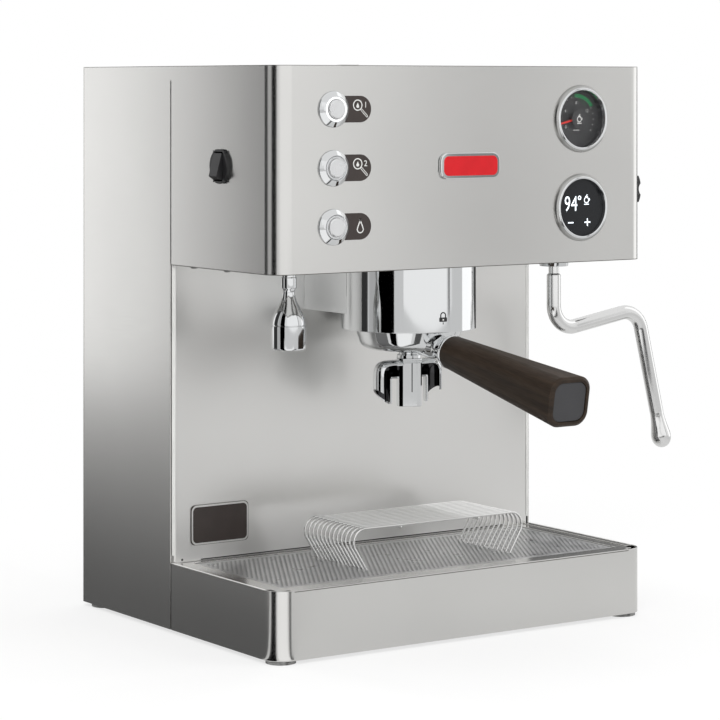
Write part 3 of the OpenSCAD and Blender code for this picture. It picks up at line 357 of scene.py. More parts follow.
def make_materials():
    MATERIALS.update(
        steel=brushed("brushed_steel_level", "Z"),
        deck=brushed("brushed_steel_deck", "Y"),
        # Painted light: the backsplash and the name plate's rim get a paler copy of the body's steel,
        # standing in for more light on them.
        wall=brushed("brushed_steel_wall", "Z", 0.08, 1.13),
        chrome=polished("polished_chrome"),
        satin=polished("satin_stainless", (0.70, 0.70, 0.69), 0.22),
        wand=polished("polished_stainless", (0.74, 0.74, 0.735), 0.12),
        line=polished("shaded_edge", (0.16, 0.155, 0.145), 0.4),
        # Painted shade: near-black metal for the inside of the spout's gutters.
        hollow=polished("dark_hollow", (0.05, 0.05, 0.052), 0.12),
        # Painted shade: a darker copy of the chrome for the rings' outer flank, standing in for the darker
        # surroundings it reflects.
        skirt=polished("satin_ring_skirt", (0.42, 0.42, 0.41), 0.3),
        button=polished("satin_button", (0.74, 0.745, 0.75), 0.24),
        grid=polished("perforated_sheet", (0.62, 0.62, 0.625), 0.32),
        wire=polished("bright_wire", (0.76, 0.76, 0.75), 0.07),
        # Painted highlight: a pale plastic for strips that stand in for the light caught by rounded sheet
        # edges.
        bright=moulded("bright_cut_edge", (0.82, 0.82, 0.80), 0.4, 0.001),
        black=moulded("black_moulding", (0.012, 0.012, 0.013), 0.35),
        dark=moulded("dark_moulding", (0.022, 0.022, 0.024), 0.5),
        cap=moulded("grey_end_cap", (0.035, 0.035, 0.038), 0.5, 0.01),
        foot=moulded("light_grey_foot", (0.30, 0.30, 0.295), 0.5),
        rubber=moulded("matt_rubber", (0.02, 0.02, 0.02), 0.75),
        dial=moulded("dial_face", (0.030, 0.030, 0.032), 0.5, 0.002),
        needle=moulded("needle_red", (0.78, 0.03, 0.02), 0.5, 0.001),
        good=moulded("dial_green", look().dial.good, 0.6, 0.001),
        print=moulded("white_print", (0.72, 0.72, 0.70), 0.6, 0.001),
        faint=moulded("faint_print", (0.62, 0.62, 0.60), 0.6, 0.001),
        ring_off=moulded("frosted_ring", (0.62, 0.63, 0.64), 0.35, 0.004),
        hose=moulded("silicone_hose", (0.62, 0.62, 0.60), 0.4),
        seal=moulded("white_seal", (0.75, 0.75, 0.74), 0.5),
        screen=enamelled("screen_glass", (0.008, 0.009, 0.011)),
        label=enamelled("label_foil", (0.040, 0.031, 0.028)),
        enamel=enamelled("red_enamel", look().enamel),
        lit=glowing("lit_digits", (0.85, 0.93, 1.0), 1.0),
        ring_on=glowing("lit_ring", (1.0, 1.0, 1.0), 0.9),
        wood=walnut("oiled_walnut"),
        brass=cast("machined_brass", (0.62, 0.44, 0.18)),
        copper=cast("drawn_copper", (0.58, 0.25, 0.13)),
        zinc=cast("zinc_plate", (0.52, 0.52, 0.51), 0.4),
        glass=clear("clear_glass", 80, 0.02, 0.05, Base_Color=(1, 1, 1), Transmission_Weight=1.0, IOR=1.45,
                    Alpha=0.12),
        tank=clear("tank_plastic", 50, 0.12, 0.2, Base_Color=(0.72, 0.78, 0.80), Transmission_Weight=0.85,
                   IOR=1.4),
    )


# ---------- modelling helpers; sizes and places are in millimetres ----------

FACING = (math.pi / 2, 0, 0)
THIN = 0.05
TINY = 0.002


def deselect():
    if bpy.context.mode != "OBJECT":
        bpy.ops.object.mode_set(mode="OBJECT")
    bpy.ops.object.select_all(action="DESELECT")


def pick(*objs):
    deselect()
    for obj in objs:
        obj.select_set(True)
    bpy.context.view_layer.objects.active = objs[0]


def added(name):
    """Names the piece that was just made."""
    obj = bpy.context.object
    obj.name = obj.data.name = name
    return obj


def started(name, kind, **settings):
    """A new primitive with its place and size in its mesh. The settings are in metres."""
    deselect()
    getattr(bpy.ops.mesh, "primitive_" + kind + "_add")(**settings)
    obj = added(name)
    bpy.ops.object.transform_apply(location=True, rotation=True, scale=True)
    return obj


@contextmanager
def editing(obj):
    """Edit mode on one piece, with all of it selected."""
    pick(obj)
    bpy.ops.object.mode_set(mode="EDIT")
    bpy.ops.mesh.select_all(action="SELECT")
    yield
    bpy.ops.object.mode_set(mode="OBJECT")


@contextmanager
def reshaped(obj):
    """The points, edges and faces of the piece that is in edit mode."""
    yield bmesh.from_edit_mesh(obj.data)
    bmesh.update_edit_mesh(obj.data)


def choose(obj, kind, test):
    """Selects only the edges or faces that pass a test, in edit mode."""
    bpy.ops.mesh.select_all(action="DESELECT")
    with reshaped(obj) as mesh:
        for part in getattr(mesh, kind):
            if test(part):
                part.select = True


def runs_along(edge, axis):
    run = edge.verts[1].co - edge.verts[0].co
    return abs(run[axis]) > 0.9 * run.length


def extruded(x, y, z):
    """Extrudes what is selected by a distance in metres."""
    bpy.ops.mesh.extrude_region_move(TRANSFORM_OT_translate={"value": (x, y, z)})


def modified(obj, kind, **settings):
    """Adds a modifier, sets it and applies it."""
    pick(obj)
    bpy.ops.object.modifier_add(type=kind)
    modifier = obj.modifiers[-1]
    for name, value in settings.items():
        setattr(modifier, name, value)
    bpy.ops.object.modifier_apply(modifier=modifier.name)
    return obj


def settle(obj, turn=(0, 0, 0), place=(0, 0, 0)):
    """Turns and moves a piece about the world's origin and leaves its place in its mesh."""
    pick(obj)
    about_x, about_y, about_z = (Matrix.Rotation(angle, 4, axis) for angle, axis in zip(turn, "XYZ"))
    move = Matrix.Translation(Vector(place) * MM)
    obj.matrix_world = move @ about_z @ about_y @ about_x @ obj.matrix_world
    bpy.ops.object.transform_apply(location=True, rotation=True, scale=True)
    return obj


def clean(obj, distance=0.001, outward=True):
    """Merges doubles and turns the faces outwards."""
    with editing(obj):
        bpy.ops.mesh.remove_doubles(threshold=distance * MM)
        if outward:
            bpy.ops.mesh.normals_make_consistent(inside=False)
    return obj


def smooth(obj, angle=35):
    """Smooth shading between sharp edges that leaves the broad faces flat."""
    pick(obj)
    bpy.ops.object.shade_smooth_by_angle(angle=math.radians(angle))
    return modified(obj, "WEIGHTED_NORMAL", keep_sharp=True, weight=100)


def broken_edges(obj, width, segments=2, angle=30):
    """Breaks a piece's sharp edges and smooths what lies between them."""
    modified(obj, "BEVEL", width=width * MM, segments=segments, limit_method="ANGLE",
             angle_limit=math.radians(angle), use_clamp_overlap=True)
    return smooth(obj, angle + 5)


def rides(obj, material, slot, *nodes, body="housing"):
    """Dresses a finished piece, lets it ride on its body and hides the CAD nodes it stands for."""
    obj.data.materials.clear()
    obj.data.materials.append(MATERIALS[material])
    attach(obj, body)
    if nodes:
        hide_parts(*nodes)
    return obj


def joined(name, parts):
    """Makes one piece of several."""
    pick(*parts)
    bpy.ops.object.join()
    return added(name)


def turned(name, rings, sides=96):
    """A piece turned on a lathe about Z. Rings are (radius, height); a radius of 0 closes an end."""
    points = [(max(r, TINY) * MM, z * MM) for r, z in rings]
    radius, height = points[0]
    obj = started(name, "circle", vertices=sides, radius=radius, location=(0, 0, height))
    with editing(obj):
        for (r0, z0), (r1, z1) in zip(points, points[1:]):
            extruded(0, 0, z1 - z0)
            if r1 != r0:
                bpy.ops.transform.resize(value=(r1 / r0, r1 / r0, 1), center_override=(0, 0, z1))
    return clean(obj, 2.5 * TINY)


def lathe(name, rings, material, slot, turn=(0, 0, 0), place=(0, 0, 0), nodes=(), sides=96, body="housing"):
    """A turned piece, put in place and dressed."""
    obj = smooth(settle(turned(name, rings, sides), turn, place))
    return rides(obj, material, slot, *nodes, body=body)


def faced(name, rings, centre, material, slot, nodes=(), sides=96):
    """A turned piece on the front panel, whose rings rise towards the user."""
    return lathe(name, rings, material, slot, FACING, (centre.x, FRONT, centre.z), nodes, sides)


def slab(name, size, place, corner=0.0, axis="Y", segments=8):
    """A plate about its centre, with its four edges along one axis rounded."""
    obj = started(name, "cube", size=1, location=Vector(place) * MM, scale=Vector(size) * MM)
    if corner:
        with editing(obj):
            choose(obj, "edges", lambda edge: runs_along(edge, "XYZ".index(axis)))
            bpy.ops.mesh.bevel(offset=corner * MM, segments=segments)
    return obj


def plate(name, size, place, material, slot, corner=0.0):
    """A thin slab on the housing that needs no more than its finish."""
    return rides(slab(name, size, place, corner), material, slot)


def flat_ring(name, outer, inner, depth, sides=48, start=0.0, turn=2 * math.pi, place=(0, 0, 0)):
    """A thin ring, or part of one, that faces -Y. Angles run clockwise from the top."""
    obj = started(name, "plane", size=1)
    size = Matrix.Diagonal(((outer - inner) * MM, depth * MM, 1, 1))
    obj.data.transform(Matrix.Translation(((outer + inner) / 2 * MM, 0, 0)) @ size)
    with editing(obj):
        bpy.ops.mesh.spin(steps=sides, angle=-turn, center=(0, 0, 0), axis=(0, 1, 0))
    if turn == 2 * math.pi:
        with editing(obj):
            choose(obj, "faces", lambda face: abs(face.normal.z) > 0.999
                   and abs(face.calc_center_median().z) < 1e-7)
            bpy.ops.mesh.delete(type="FACE")
    return settle(clean(obj), (0, start - math.pi / 2, 0), place)


def bar(name, start, end, width, y, depth=THIN):
    """A straight stroke between two points (x, z) of a plane that faces -Y."""
    run = Vector(end) - Vector(start)
    obj = started(name, "cube", size=1, scale=(run.length * MM, depth * MM, width * MM))
    centre = ((start[0] + end[0]) / 2, y, (start[1] + end[1]) / 2)
    return settle(obj, (0, -math.atan2(run.y, run.x), 0), centre)


def lettered(name, words, height, place, narrow=1.0, thinner=0.0):
    """Digits as a thin mesh that faces -Y."""
    deselect()
    bpy.ops.object.text_add()
    text = bpy.context.object.data
    text.body = words
    text.align_x = text.align_y = "CENTER"
    text.size = height * 1.38 * MM
    text.extrude = THIN / 2 * MM
    text.offset = -thinner * MM
    bpy.ops.object.convert(target="MESH")
    obj = added(name)
    obj.scale = (narrow, 1, 1)
    bpy.ops.object.transform_apply(scale=True)
    return settle(clean(obj, 0.0005), FACING, place)


def drop_shape(name, width, height, place, y, hollow=0.0):
    """A drop that faces -Y, filled or as an outline. Its place is (x, z)."""
    obj = started(name, "circle", vertices=32, radius=width / 2 * MM, fill_type="NGON")
    for vertex in obj.data.vertices:
        if vertex.co.y > 0:
            rise = vertex.co.y / (width / 2 * MM)
            vertex.co.x *= (1 - rise) ** 0.75 if rise < 1 else 0
            vertex.co.y = (height - width / 2) * MM * rise
    with editing(obj):
        if hollow:
            bpy.ops.mesh.inset(thickness=hollow * MM)
            bpy.ops.mesh.delete(type="FACE")
            bpy.ops.mesh.select_all(action="SELECT")
        extruded(0, 0, THIN * MM)
    return settle(clean(obj), FACING, (place[0], y, place[1] - (height - width) / 2))


def cup_sign(name, size, place, y):
    """A small cup with steam, a plain sign. Its place is (x, z)."""
    x, z = place
    parts = [
        flat_ring("bowl", size * 0.38, size * 0.28, THIN, 40, place=(x, y, z - size * 0.08)),
        flat_ring("ear", size * 0.16, size * 0.09, THIN, 24, 0, math.pi,
                  (x + size * 0.36, y, z - size * 0.02)),
    ]
    for x0, z0, x1, z1, width in (
        (-0.06, 0.34, 0.12, 0.58, 0.11), (-0.20, 0.32, 0.20, 0.32, 0.10), (-0.36, -0.58, 0.36, -0.58, 0.10),
    ):
        ends = (x + size * x0, z + size * z0), (x + size * x1, z + size * z1)
        parts.append(bar("stroke", *ends, size * width, y))
    return joined(name, parts)


def pulled(obj, matrix):
    """Extrudes what is selected in edit mode and moves the new end by a matrix."""
    bpy.ops.mesh.extrude_region()
    with reshaped(obj) as mesh:
        bmesh.ops.transform(mesh, matrix=matrix, verts=[v for v in mesh.verts if v.select])


def swept(name, stations, sides=48):
    """A round bar through stations of (point, tilt about Y from +Z, radius)."""
    def at(station):
        point, tilt, radius = station
        size = Matrix.Diagonal((radius, radius, radius, 1))
        return Matrix.Translation(Vector(point) * MM) @ Matrix.Rotation(tilt, 4, "Y") @ size

    obj = started(name, "circle", vertices=sides, radius=MM)
    obj.data.transform(at(stations[0]))
    with editing(obj):
        for before, after in zip(stations, stations[1:]):
            pulled(obj, at(after) @ at(before).inverted())
        bpy.ops.mesh.edge_face_add()
    return clean(obj, 0.004)


def copied(node):
    """A merged copy of a CAD node."""
    pick(frame["nodes"][node])
    bpy.ops.object.duplicate()
    obj = added(node + "_finished")
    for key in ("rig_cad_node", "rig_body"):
        if key in obj:
            del obj[key]
    obj.parent = None
    obj.matrix_world = Matrix.Identity(4)
    return clean(obj, 0.002, outward=False)


def stands_in(obj, node, material):
    """Lets a finished copy stand for its CAD node, on the same body."""
    return rides(obj, material, SLOTS[node], node, body=frame["nodes"][node]["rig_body"])


def softened(node, material, edge=None, segments=2):
    """Stands in for a CAD node, with broken edges."""
    obj = modified(copied(node), "DECIMATE", decimate_type="DISSOLVE", angle_limit=math.radians(0.2))
    broken_edges(obj, edge or look().steel.edge / MM, segments)
    return stands_in(obj, node, material)


def smoothed(node, material, angle=40):
    """Stands in for a CAD node, with smooth shading."""
    return stands_in(smooth(copied(node), angle), node, material)


# ---------- the machine's pieces ----------

DONE = {"FINISHED"}


class Maker(bpy.types.Operator):
    """Base of the operators that make pieces."""

    bl_options = {"REGISTER", "UNDO"}


class ESPRESSO_OT_sheets(Maker):
    """Finish the bent sheets of the body"""

    bl_idname = "espresso.sheets"
    bl_label = "Body Sheets"

    def execute(self, context):
        for node in ("outer_shell", "base_frame", "head_floor", "rear_panel"):
            softened(node, "steel")
        softened("backsplash", "wall")
        softened("top_panel", "deck")
        softened("tank_lid", "deck", 0.3)
        softened("drip_tray", "steel", 0.35)
        smoothed("feet", "foot")
        roof, rim, tray, proud = SHELL_HIGH.z, box("base_frame")[1].z, 53, 0.06
        # Painted shade: fine dark strips along the roof's edge and under the head's lower edge.
        self.edge_line("roof_line", roof - 0.35, roof, SHELL_HIGH.y)
        self.edge_line("head_line", HEAD - 0.05, HEAD + 0.45, WALL - 0.6)
        low, high = HEAD + 2, roof - 10
        for side in (-1, 1):
            plate("slit_shade", (0.6, 3, high - low), (side * (SIDE - 1.7), WALL, (low + high) / 2),
                  "dark", "black_plastic")
            # Painted highlight: a pale strip down each side of the backsplash, below the head, stands in for
            # the light on its rounded edge.
            place = (side * (SIDE - 2.1), WALL - proud, (low - 1 + tray) / 2)
            plate("wall_edge", (2.2, 0.1, low - 1 - tray), place, "bright", "brushed_steel")
        # Painted shade: a black strip on the backsplash just above the tray stands in for the shade in the
        # slot behind the tray.
        plate("tray_seam", (2 * (SIDE - 24), 0.1, 0.8), (0, WALL - proud, 48.4), "black",
              "black_plastic", 0.38)
        plate("tray_dot", (1.6, 0.1, 1.6), (9.1 - SIDE, WALL - proud, 49.4), "black", "black_plastic", 0.75)
        plate("rim_shade", (2 * (SIDE - 15), 0.1, 0.5), (0, FRONT - 0.03, rim - 0.9), "line", "brushed_steel")
        # Painted highlight: a pale strip along the top of each side of the base stands in for the light on
        # the fold of its lip.
        for side in (-1, 1):
            plate("side_lip", (1.5, WALL - FRONT - 14, 0.1),
                  (side * (SIDE - 0.72), (WALL + FRONT + 13) / 2, rim + 0.03), "bright", "brushed_steel")
        return DONE

    def edge_line(self, name, low, high, back):
        """Painted shade: a fine dark strip around the front corners that stands in for the shade along the
        roof's fold and under the head's lower edge.
        """
        proud, corner, thick = 0.02, 13, 0.1
        obj = slab(name, (2 * (SIDE + proud), back - FRONT + proud, high - low),
                   (0, (FRONT + back - proud) / 2, (low + high) / 2))
        with editing(obj):
            choose(obj, "edges", lambda edge: runs_along(edge, 2) and edge.verts[0].co.y < (FRONT + 1) * MM)
            bpy.ops.mesh.bevel(offset=corner * MM, segments=16)
            choose(obj, "faces", lambda face: abs(face.normal.z) > 0.9 or face.normal.y > 0.9)
            bpy.ops.mesh.delete(type="FACE")
        modified(obj, "SOLIDIFY", thickness=thick * MM, offset=-1)
        rides(smooth(obj, 40), "line", "brushed_steel")


class ESPRESSO_OT_group(Maker):
    """Model the chrome collar and the housing of the brewing group"""

    bl_idname = "espresso.group"
    bl_label = "Brewing Group"

    def execute(self, context):
        low, high = box("group_collar")
        outer, top = (high.x - low.x) / 2, high.z - low.z
        inner = outer - 3
        rings = [(inner, 0.3), (inner + 0.3, 0), (outer - 0.5, 0), (outer - 0.15, 0.15), (outer, 0.5),
                 (outer, 23.0), (outer - 0.07, 23.5), (outer - 0.07, top), (inner - 6, top),
                 (inner - 6, top - 3), (inner, top - 3), (inner, 0.3)]
        lathe("collar", rings, "chrome", "chrome", place=(GROUP.x, GROUP.y, low.z), nodes=["group_collar"],
              sides=192)
        softened("group_shroud", "chrome", 0.8, 3)
        smoothed("group_body", "satin")
        self.padlock(-outer - 0.02, 0.06)
        return DONE

    def padlock(self, y, thick):
        """A small printed padlock that shows where the handle locks."""
        turn, place = (0, 0, math.radians(-5.5)), (GROUP.x, GROUP.y, HANDLE_Z + 14)
        strokes = [slab("padlock_body", (6.0, thick, 3.0), (0, y, -0.6), 0.7),
                   flat_ring("padlock_bow", 2.3, 1.45, thick, 24, -math.pi / 2, math.pi, (0, y, 2.3))]
        for x, start, end, width in ((-1.87, 0.5, 2.4, 0.85), (1.87, 0.5, 2.4, 0.85), (0, -2.4, -3.9, 0.6)):
            strokes.append(bar("padlock_stroke", (x, start), (x, end), width, y, thick))
        sign = settle(joined("padlock_sign", strokes), turn, place)
        rides(sign, "black", "black_plastic")
        hole = slab("padlock_keyhole", (1.2, thick, 1.2), (0, y - 0.04, -0.7), 0.55)
        rides(settle(hole, turn, place), "print", "black_plastic")


class ESPRESSO_OT_portafilter(Maker):
    """Model the portafilter's bowl, lugs and arm"""

    bl_idname = "espresso.portafilter"
    bl_label = "Portafilter"

    def execute(self, context):
        rim = box("portafilter")[1].z - BOWL_Z
        rings = [(3, -21), (8.2, -21), (8.5, -20.7), (8.5, -18.8), (8.1, -18.4), (7.0, -17.8), (7.1, -17.2),
                 (8.6, -15.8), (10.2, -15.2), (26.5, -14.5), (29.3, -13.9), (31.6, -12.8), (33.2, -11.5),
                 (34.2, -9.9), (34.8, -8), (37.2, -0.5), (37.45, 0.8), (37.5, 2), (37.5, 6.6), (37.2, 7),
                 (34.1, 7), (34.1, rim - 0.4), (33.8, rim), (30.1, rim), (30.1, -8.5), (3, -8.5), (3, -21)]
        parts = [settle(turned("bowl_shell", rings, 160), place=(GROUP.x, GROUP.y, BOWL_Z))]
        for side in (0, math.pi):
            lug = flat_ring("lug", 38.6, 33.2, 6, 12, math.radians(73) + side, math.radians(34))
            parts.append(settle(lug, FACING, (GROUP.x, GROUP.y, BOWL_Z + rim - 8)))
        bowl = smooth(joined("portafilter_bowl", parts))
        rides(bowl, "chrome", "chrome", "portafilter", body="portafilter")
        arm = [(0, 22), (10.2, 22), (9.7, 31), (8.9, 34), (7.9, 36.8), (7.6, 38.5), (7.75, 40.5), (8.3, 42.6),
               (9.2, 45), (10.2, 47.3), (11.1, 49.3), (11.6, 50.4), (11.75, 51), (11.75, 52.3), (11.45, 52.6),
               (4, 52.6), (4, 78), (0, 78)]
        lathe("portafilter_arm", arm, "chrome", "chrome", (math.pi / 2 + look().handle.drop, 0, 0),
              (GROUP.x, GROUP.y, HANDLE_Z), ["portafilter"], body="portafilter")
        smoothed("filter_basket", "satin")
        smoothed("shower_screen", "satin")
        return DONE


class ESPRESSO_OT_spout(Maker):
    """Model the double spout with its open gutters"""

    bl_idname = "espresso.spout"
    bl_label = "Spout"

    def execute(self, context):
        low, high = box("spout")
        bottom, top = low.z, high.z
        turn, place = (0, 0, math.radians(-30)), (GROUP.x, GROUP.y, 0)
        wide, groove = 17.2, 16.2
        parts, floor = [], bottom
        for below_top, width in ((2.9, wide), (2.5, groove), (1.6, wide), (1.2, groove), (0, wide)):
            roof = top - below_top
            row = slab("spout_row", (width, width, roof - floor), (0, 0, (floor + roof) / 2), 3.8, "Z", 2)
            parts.append(settle(row, turn))
            floor = roof
        parts += [self.gutter(6.6, 1.3, top - 0.6, bottom, side) for side in (1, -1)]
        body = broken_edges(settle(joined("spout_body", parts), place=place), 0.12, 1, 16)
        rides(body, "chrome", "chrome", "spout", body="portafilter")
        # Painted shade: a thin near-black metal shell inside each gutter stands in for the shade in its
        # hollow.
        parts = [self.gutter(5.26, 0.12, top - 1.94, bottom + 0.3, side) for side in (1, -1)]
        hollow_shade = smooth(settle(joined("spout_lining", parts), place=place), 32)
        rides(hollow_shade, "hollow", "chrome", body="portafilter")
        # Painted shade: a black strip on the block's front stands in for the dark band of shade there.
        shade_band = settle(slab("spout_seam", (0.7, 0.1, 20), (1.4, -8.63, top - 13)), turn, place)
        rides(shade_band, "black", "chrome", body="portafilter")
        return DONE

    def gutter(self, radius, wall, top, bottom, side):
        """A tube, open at its front, that leaves the block, bends down and ends on a slant."""
        root, bend, reach, cut, shift = 5 * MM, 6.6 * MM, 21.2 * MM, 12.6 * MM, -0.8 * MM
        slant, radius, bottom = math.radians(39), radius * MM, bottom * MM
        axis = top * MM - radius
        obj = started("spout_gutter", "circle", vertices=48, radius=radius)
        obj.data.transform(Matrix.Translation((root, 0, axis)) @ Matrix.Rotation(math.pi / 2, 4, "Y"))
        pivot = Matrix.Translation((reach - bend, 0, axis - bend))
        step = pivot @ Matrix.Rotation(math.pi / 32, 4, "Y") @ pivot.inverted()
        with editing(obj):
            with reshaped(obj) as mesh:
                opening = [v for v in mesh.verts
                           if -70 < math.degrees(math.atan2(v.co.z - axis, -v.co.y)) < 28]
                bmesh.ops.delete(mesh, geom=opening, context="VERTS")
            extruded(reach - bend - root, 0, 0)
            for _ in range(16):
                pulled(obj, step)
            self.tightened(obj, reach - bend, axis - bend)
            extruded(0, 0, bottom - axis + bend)
            bpy.ops.mesh.select_all(action="SELECT")
            bpy.ops.mesh.bisect(plane_co=(reach + bend, 0, bottom + cut),
                                plane_no=(math.sin(slant), 0, -math.cos(slant)), clear_outer=True)
        first = clean(obj, outward=False).data.polygons[0]
        outwards = first.normal.dot(first.center - Vector((0, 0, axis))) > 0
        modified(obj, "SOLIDIFY", thickness=wall * MM, offset=-1 if outwards else 1)
        if side < 0:
            obj.data.transform(Matrix.Scale(-1, 4, (1, 0, 0)))
            obj.data.flip_normals()
        obj.data.transform(Matrix.Translation((shift, 0, 0)))
        return obj

    def tightened(self, obj, x, z):
        """Fills out the outside of the bend, so that its corner is short."""
        power = 3.4
        with reshaped(obj) as mesh:
            for vertex in mesh.verts:
                across, up = vertex.co.x - x, vertex.co.z - z
                away = math.hypot(across, up)
                if across > 0 and up > 0 and away > 0.5 * MM:
                    wider = ((across / away) ** power + (up / away) ** power) ** (-1 / power)
                    vertex.co.x, vertex.co.z = x + across * wider, z + up * wider


class ESPRESSO_OT_handle(Maker):
    """Model the walnut handle and its end cap"""

    bl_idname = "espresso.handle"
    bl_label = "Handle"

    def execute(self, context):
        sizes = look().handle
        start, end = 52.75, 181.7
        turn, place = (math.pi / 2 + sizes.drop, 0, 0), (GROUP.x, GROUP.y, HANDLE_Z)
        wood = settle(self.grip(sizes, start * MM, end * MM), turn, place)
        rides(broken_edges(wood, 0.3, 2, 28), "wood", "walnut", "handle_grip", body="portafilter")
        cap = settle(slab("handle_end_cap", (25.6, 25.6, 2.0), (0, 0, end - 1.7), 6.4, "Z", 10), turn, place)
        rides(broken_edges(cap, 0.35), "cap", "cap_plastic", "handle_cap", body="portafilter")
        return DONE

    def grip(self, sizes, start, end):
        """Round at the bowl, a soft square at its end, with a recess for the cap."""
        chamfer, corner, rim, recess = 1.5 * MM, 9.5 * MM, 1.9 * MM, 2.6 * MM
        obj = started("handle_wood", "plane", size=sizes.end, location=(0, 0, end - chamfer))
        with editing(obj):
            bpy.ops.mesh.bevel(offset=corner, segments=15, affect="VERTICES")
            bpy.ops.mesh.select_all(action="SELECT")
            extruded(0, 0, chamfer)
            bpy.ops.transform.resize(value=(0.90, 0.90, 1), center_override=(0, 0, end))
            bpy.ops.mesh.inset(thickness=rim)
            extruded(0, 0, -recess)
            with reshaped(obj) as mesh:
                inside = [face for face in mesh.faces
                          if abs(face.normal.z) > 0.9 and face.calc_area() > 0.0002
                          and abs(face.calc_center_median().z - (end - chamfer)) < 1e-6]
                bmesh.ops.delete(mesh, geom=inside, context="FACES_ONLY")
            bpy.ops.mesh.select_all(action="DESELECT")
            bpy.ops.mesh.primitive_circle_add(vertices=64, radius=sizes.root / 2, location=(0, 0, start))
            choose(obj, "edges", lambda edge: edge.is_boundary or edge.is_wire)
            bpy.ops.mesh.bridge_edge_loops(number_cuts=14, interpolation="LINEAR")
            choose(obj, "edges", lambda edge: edge.is_boundary)
            bpy.ops.mesh.edge_face_add()
        return clean(obj, 0.003)


class ESPRESSO_OT_tap(Maker):
    """Model the hot water tap"""

    bl_idname = "espresso.tap"
    bl_label = "Hot Water Tap"

    def execute(self, context):
        low, high = box("hot_water_tap")
        top = high.z - low.z
        rings = [(2.5, 0.4), (2.9, 0), (10.5, 0), (11.2, 0.3), (11.7, 1.3), (11.7, 15.9), (11.45, 16.15),
                 (11.0, 16.2), (11.0, 16.7), (11.4, 16.8), (11.35, 18), (11.0, 20), (10.3, 22.5), (9.2, 25),
                 (7.8, 27.7), (6.4, 30.4), (5.3, 33), (4.6, 35.3), (4.2, 37.3), (4.15, 38.6), (4.4, 39.8),
                 (5.1, 40.7), (5.35, 41.4), (5.35, 47.6), (5.15, 48.2), (5.0, 48.8), (5.0, top), (2.5, top),
                 (2.5, 0.4)]
        lathe("tap_body", rings, "chrome", "chrome", place=(TAP.x, TAP.y, low.z), nodes=["hot_water_tap"])
        return DONE


class ESPRESSO_OT_wand(Maker):
    """Model the steam wand, its tip and its nut"""

    bl_idname = "espresso.wand"
    bl_label = "Steam Wand"

    def execute(self, context):
        softened("wand_nut", "chrome", 0.4, 3)
        smoothed("wand_seat", "seal")
        lean = math.radians(13.5)
        stations, end = self.route(lean)
        rides(smooth(swept("wand_tube", stations)), "wand", "chrome", "steam_wand", body="steam_wand")
        rings = [(1, 0), (4.75, 0), (4.9, 0.25), (4.9, 2.6), (5, 3.4), (5.3, 6.5), (5.8, 10), (6.5, 13.8),
                 (7.0, 16.6), (7.2, 18.4), (7.15, 20), (6.8, 21.8), (6.1, 23.5), (5.0, 25.1), (3.6, 26.3),
                 (2.2, 26.9), (1.2, 27), (1, 26.8), (1, 0.0)]
        lathe("wand_nozzle", rings, "wand", "chrome", (0, math.pi - lean, 0), end, ["wand_tip"],
              body="steam_wand")
        return DONE

    def route(self, lean):
        """The stations of the tube: its ball, its neck, two bends and the arm that leans outwards."""
        reach, rise, arm, bend, ball, neck, tube, steps = 77.5, 13.3, 105.5, 16, 8, 3.7, 5, 20
        down = math.pi
        slope = math.atan2(rise, reach)
        low_turn, high_turn = math.pi / 2 + slope, math.pi / 2 - lean + slope
        low_trim, high_trim = (bend * math.tan(angle / 2) for angle in (low_turn, high_turn))
        seat = middle("wand_nut")
        x, y, floor = seat.x, seat.y, HEAD - 53.3
        stations = []
        for degrees in range(0, 150, 10):
            a = math.radians(degrees)
            stations.append(((x, y, HEAD + 5 + ball * math.cos(a)), down, max(0.05, ball * math.sin(a))))
        for height, radius in ((-2.1, neck), (-11.2, neck), (-11.9, 4.3), (-12.4, 4.9), (-13, tube)):
            stations.append(((x, y, HEAD + height), down, radius))
        for i in range(steps + 1):
            a = low_turn * i / steps
            point = (x + bend - bend * math.cos(a), y, floor + low_trim - bend * math.sin(a))
            stations.append((point, down - a, tube))
        elbow = Vector((x + reach, y, floor + rise))
        centre = elbow + Vector((bend * math.sin(slope) - high_trim * math.cos(slope), 0,
                                 -bend * math.cos(slope) - high_trim * math.sin(slope)))
        for i in range(steps + 1):
            a = high_turn * i / steps
            lift = math.pi / 2 + slope - a
            point = centre + Vector((bend * math.cos(lift), 0, bend * math.sin(lift)))
            stations.append((point, math.pi / 2 - slope + a, tube))
        end = elbow + Vector((math.sin(lean), 0, -math.cos(lean))) * (arm - 27)
        return [*stations, (end, down - lean, tube)], end


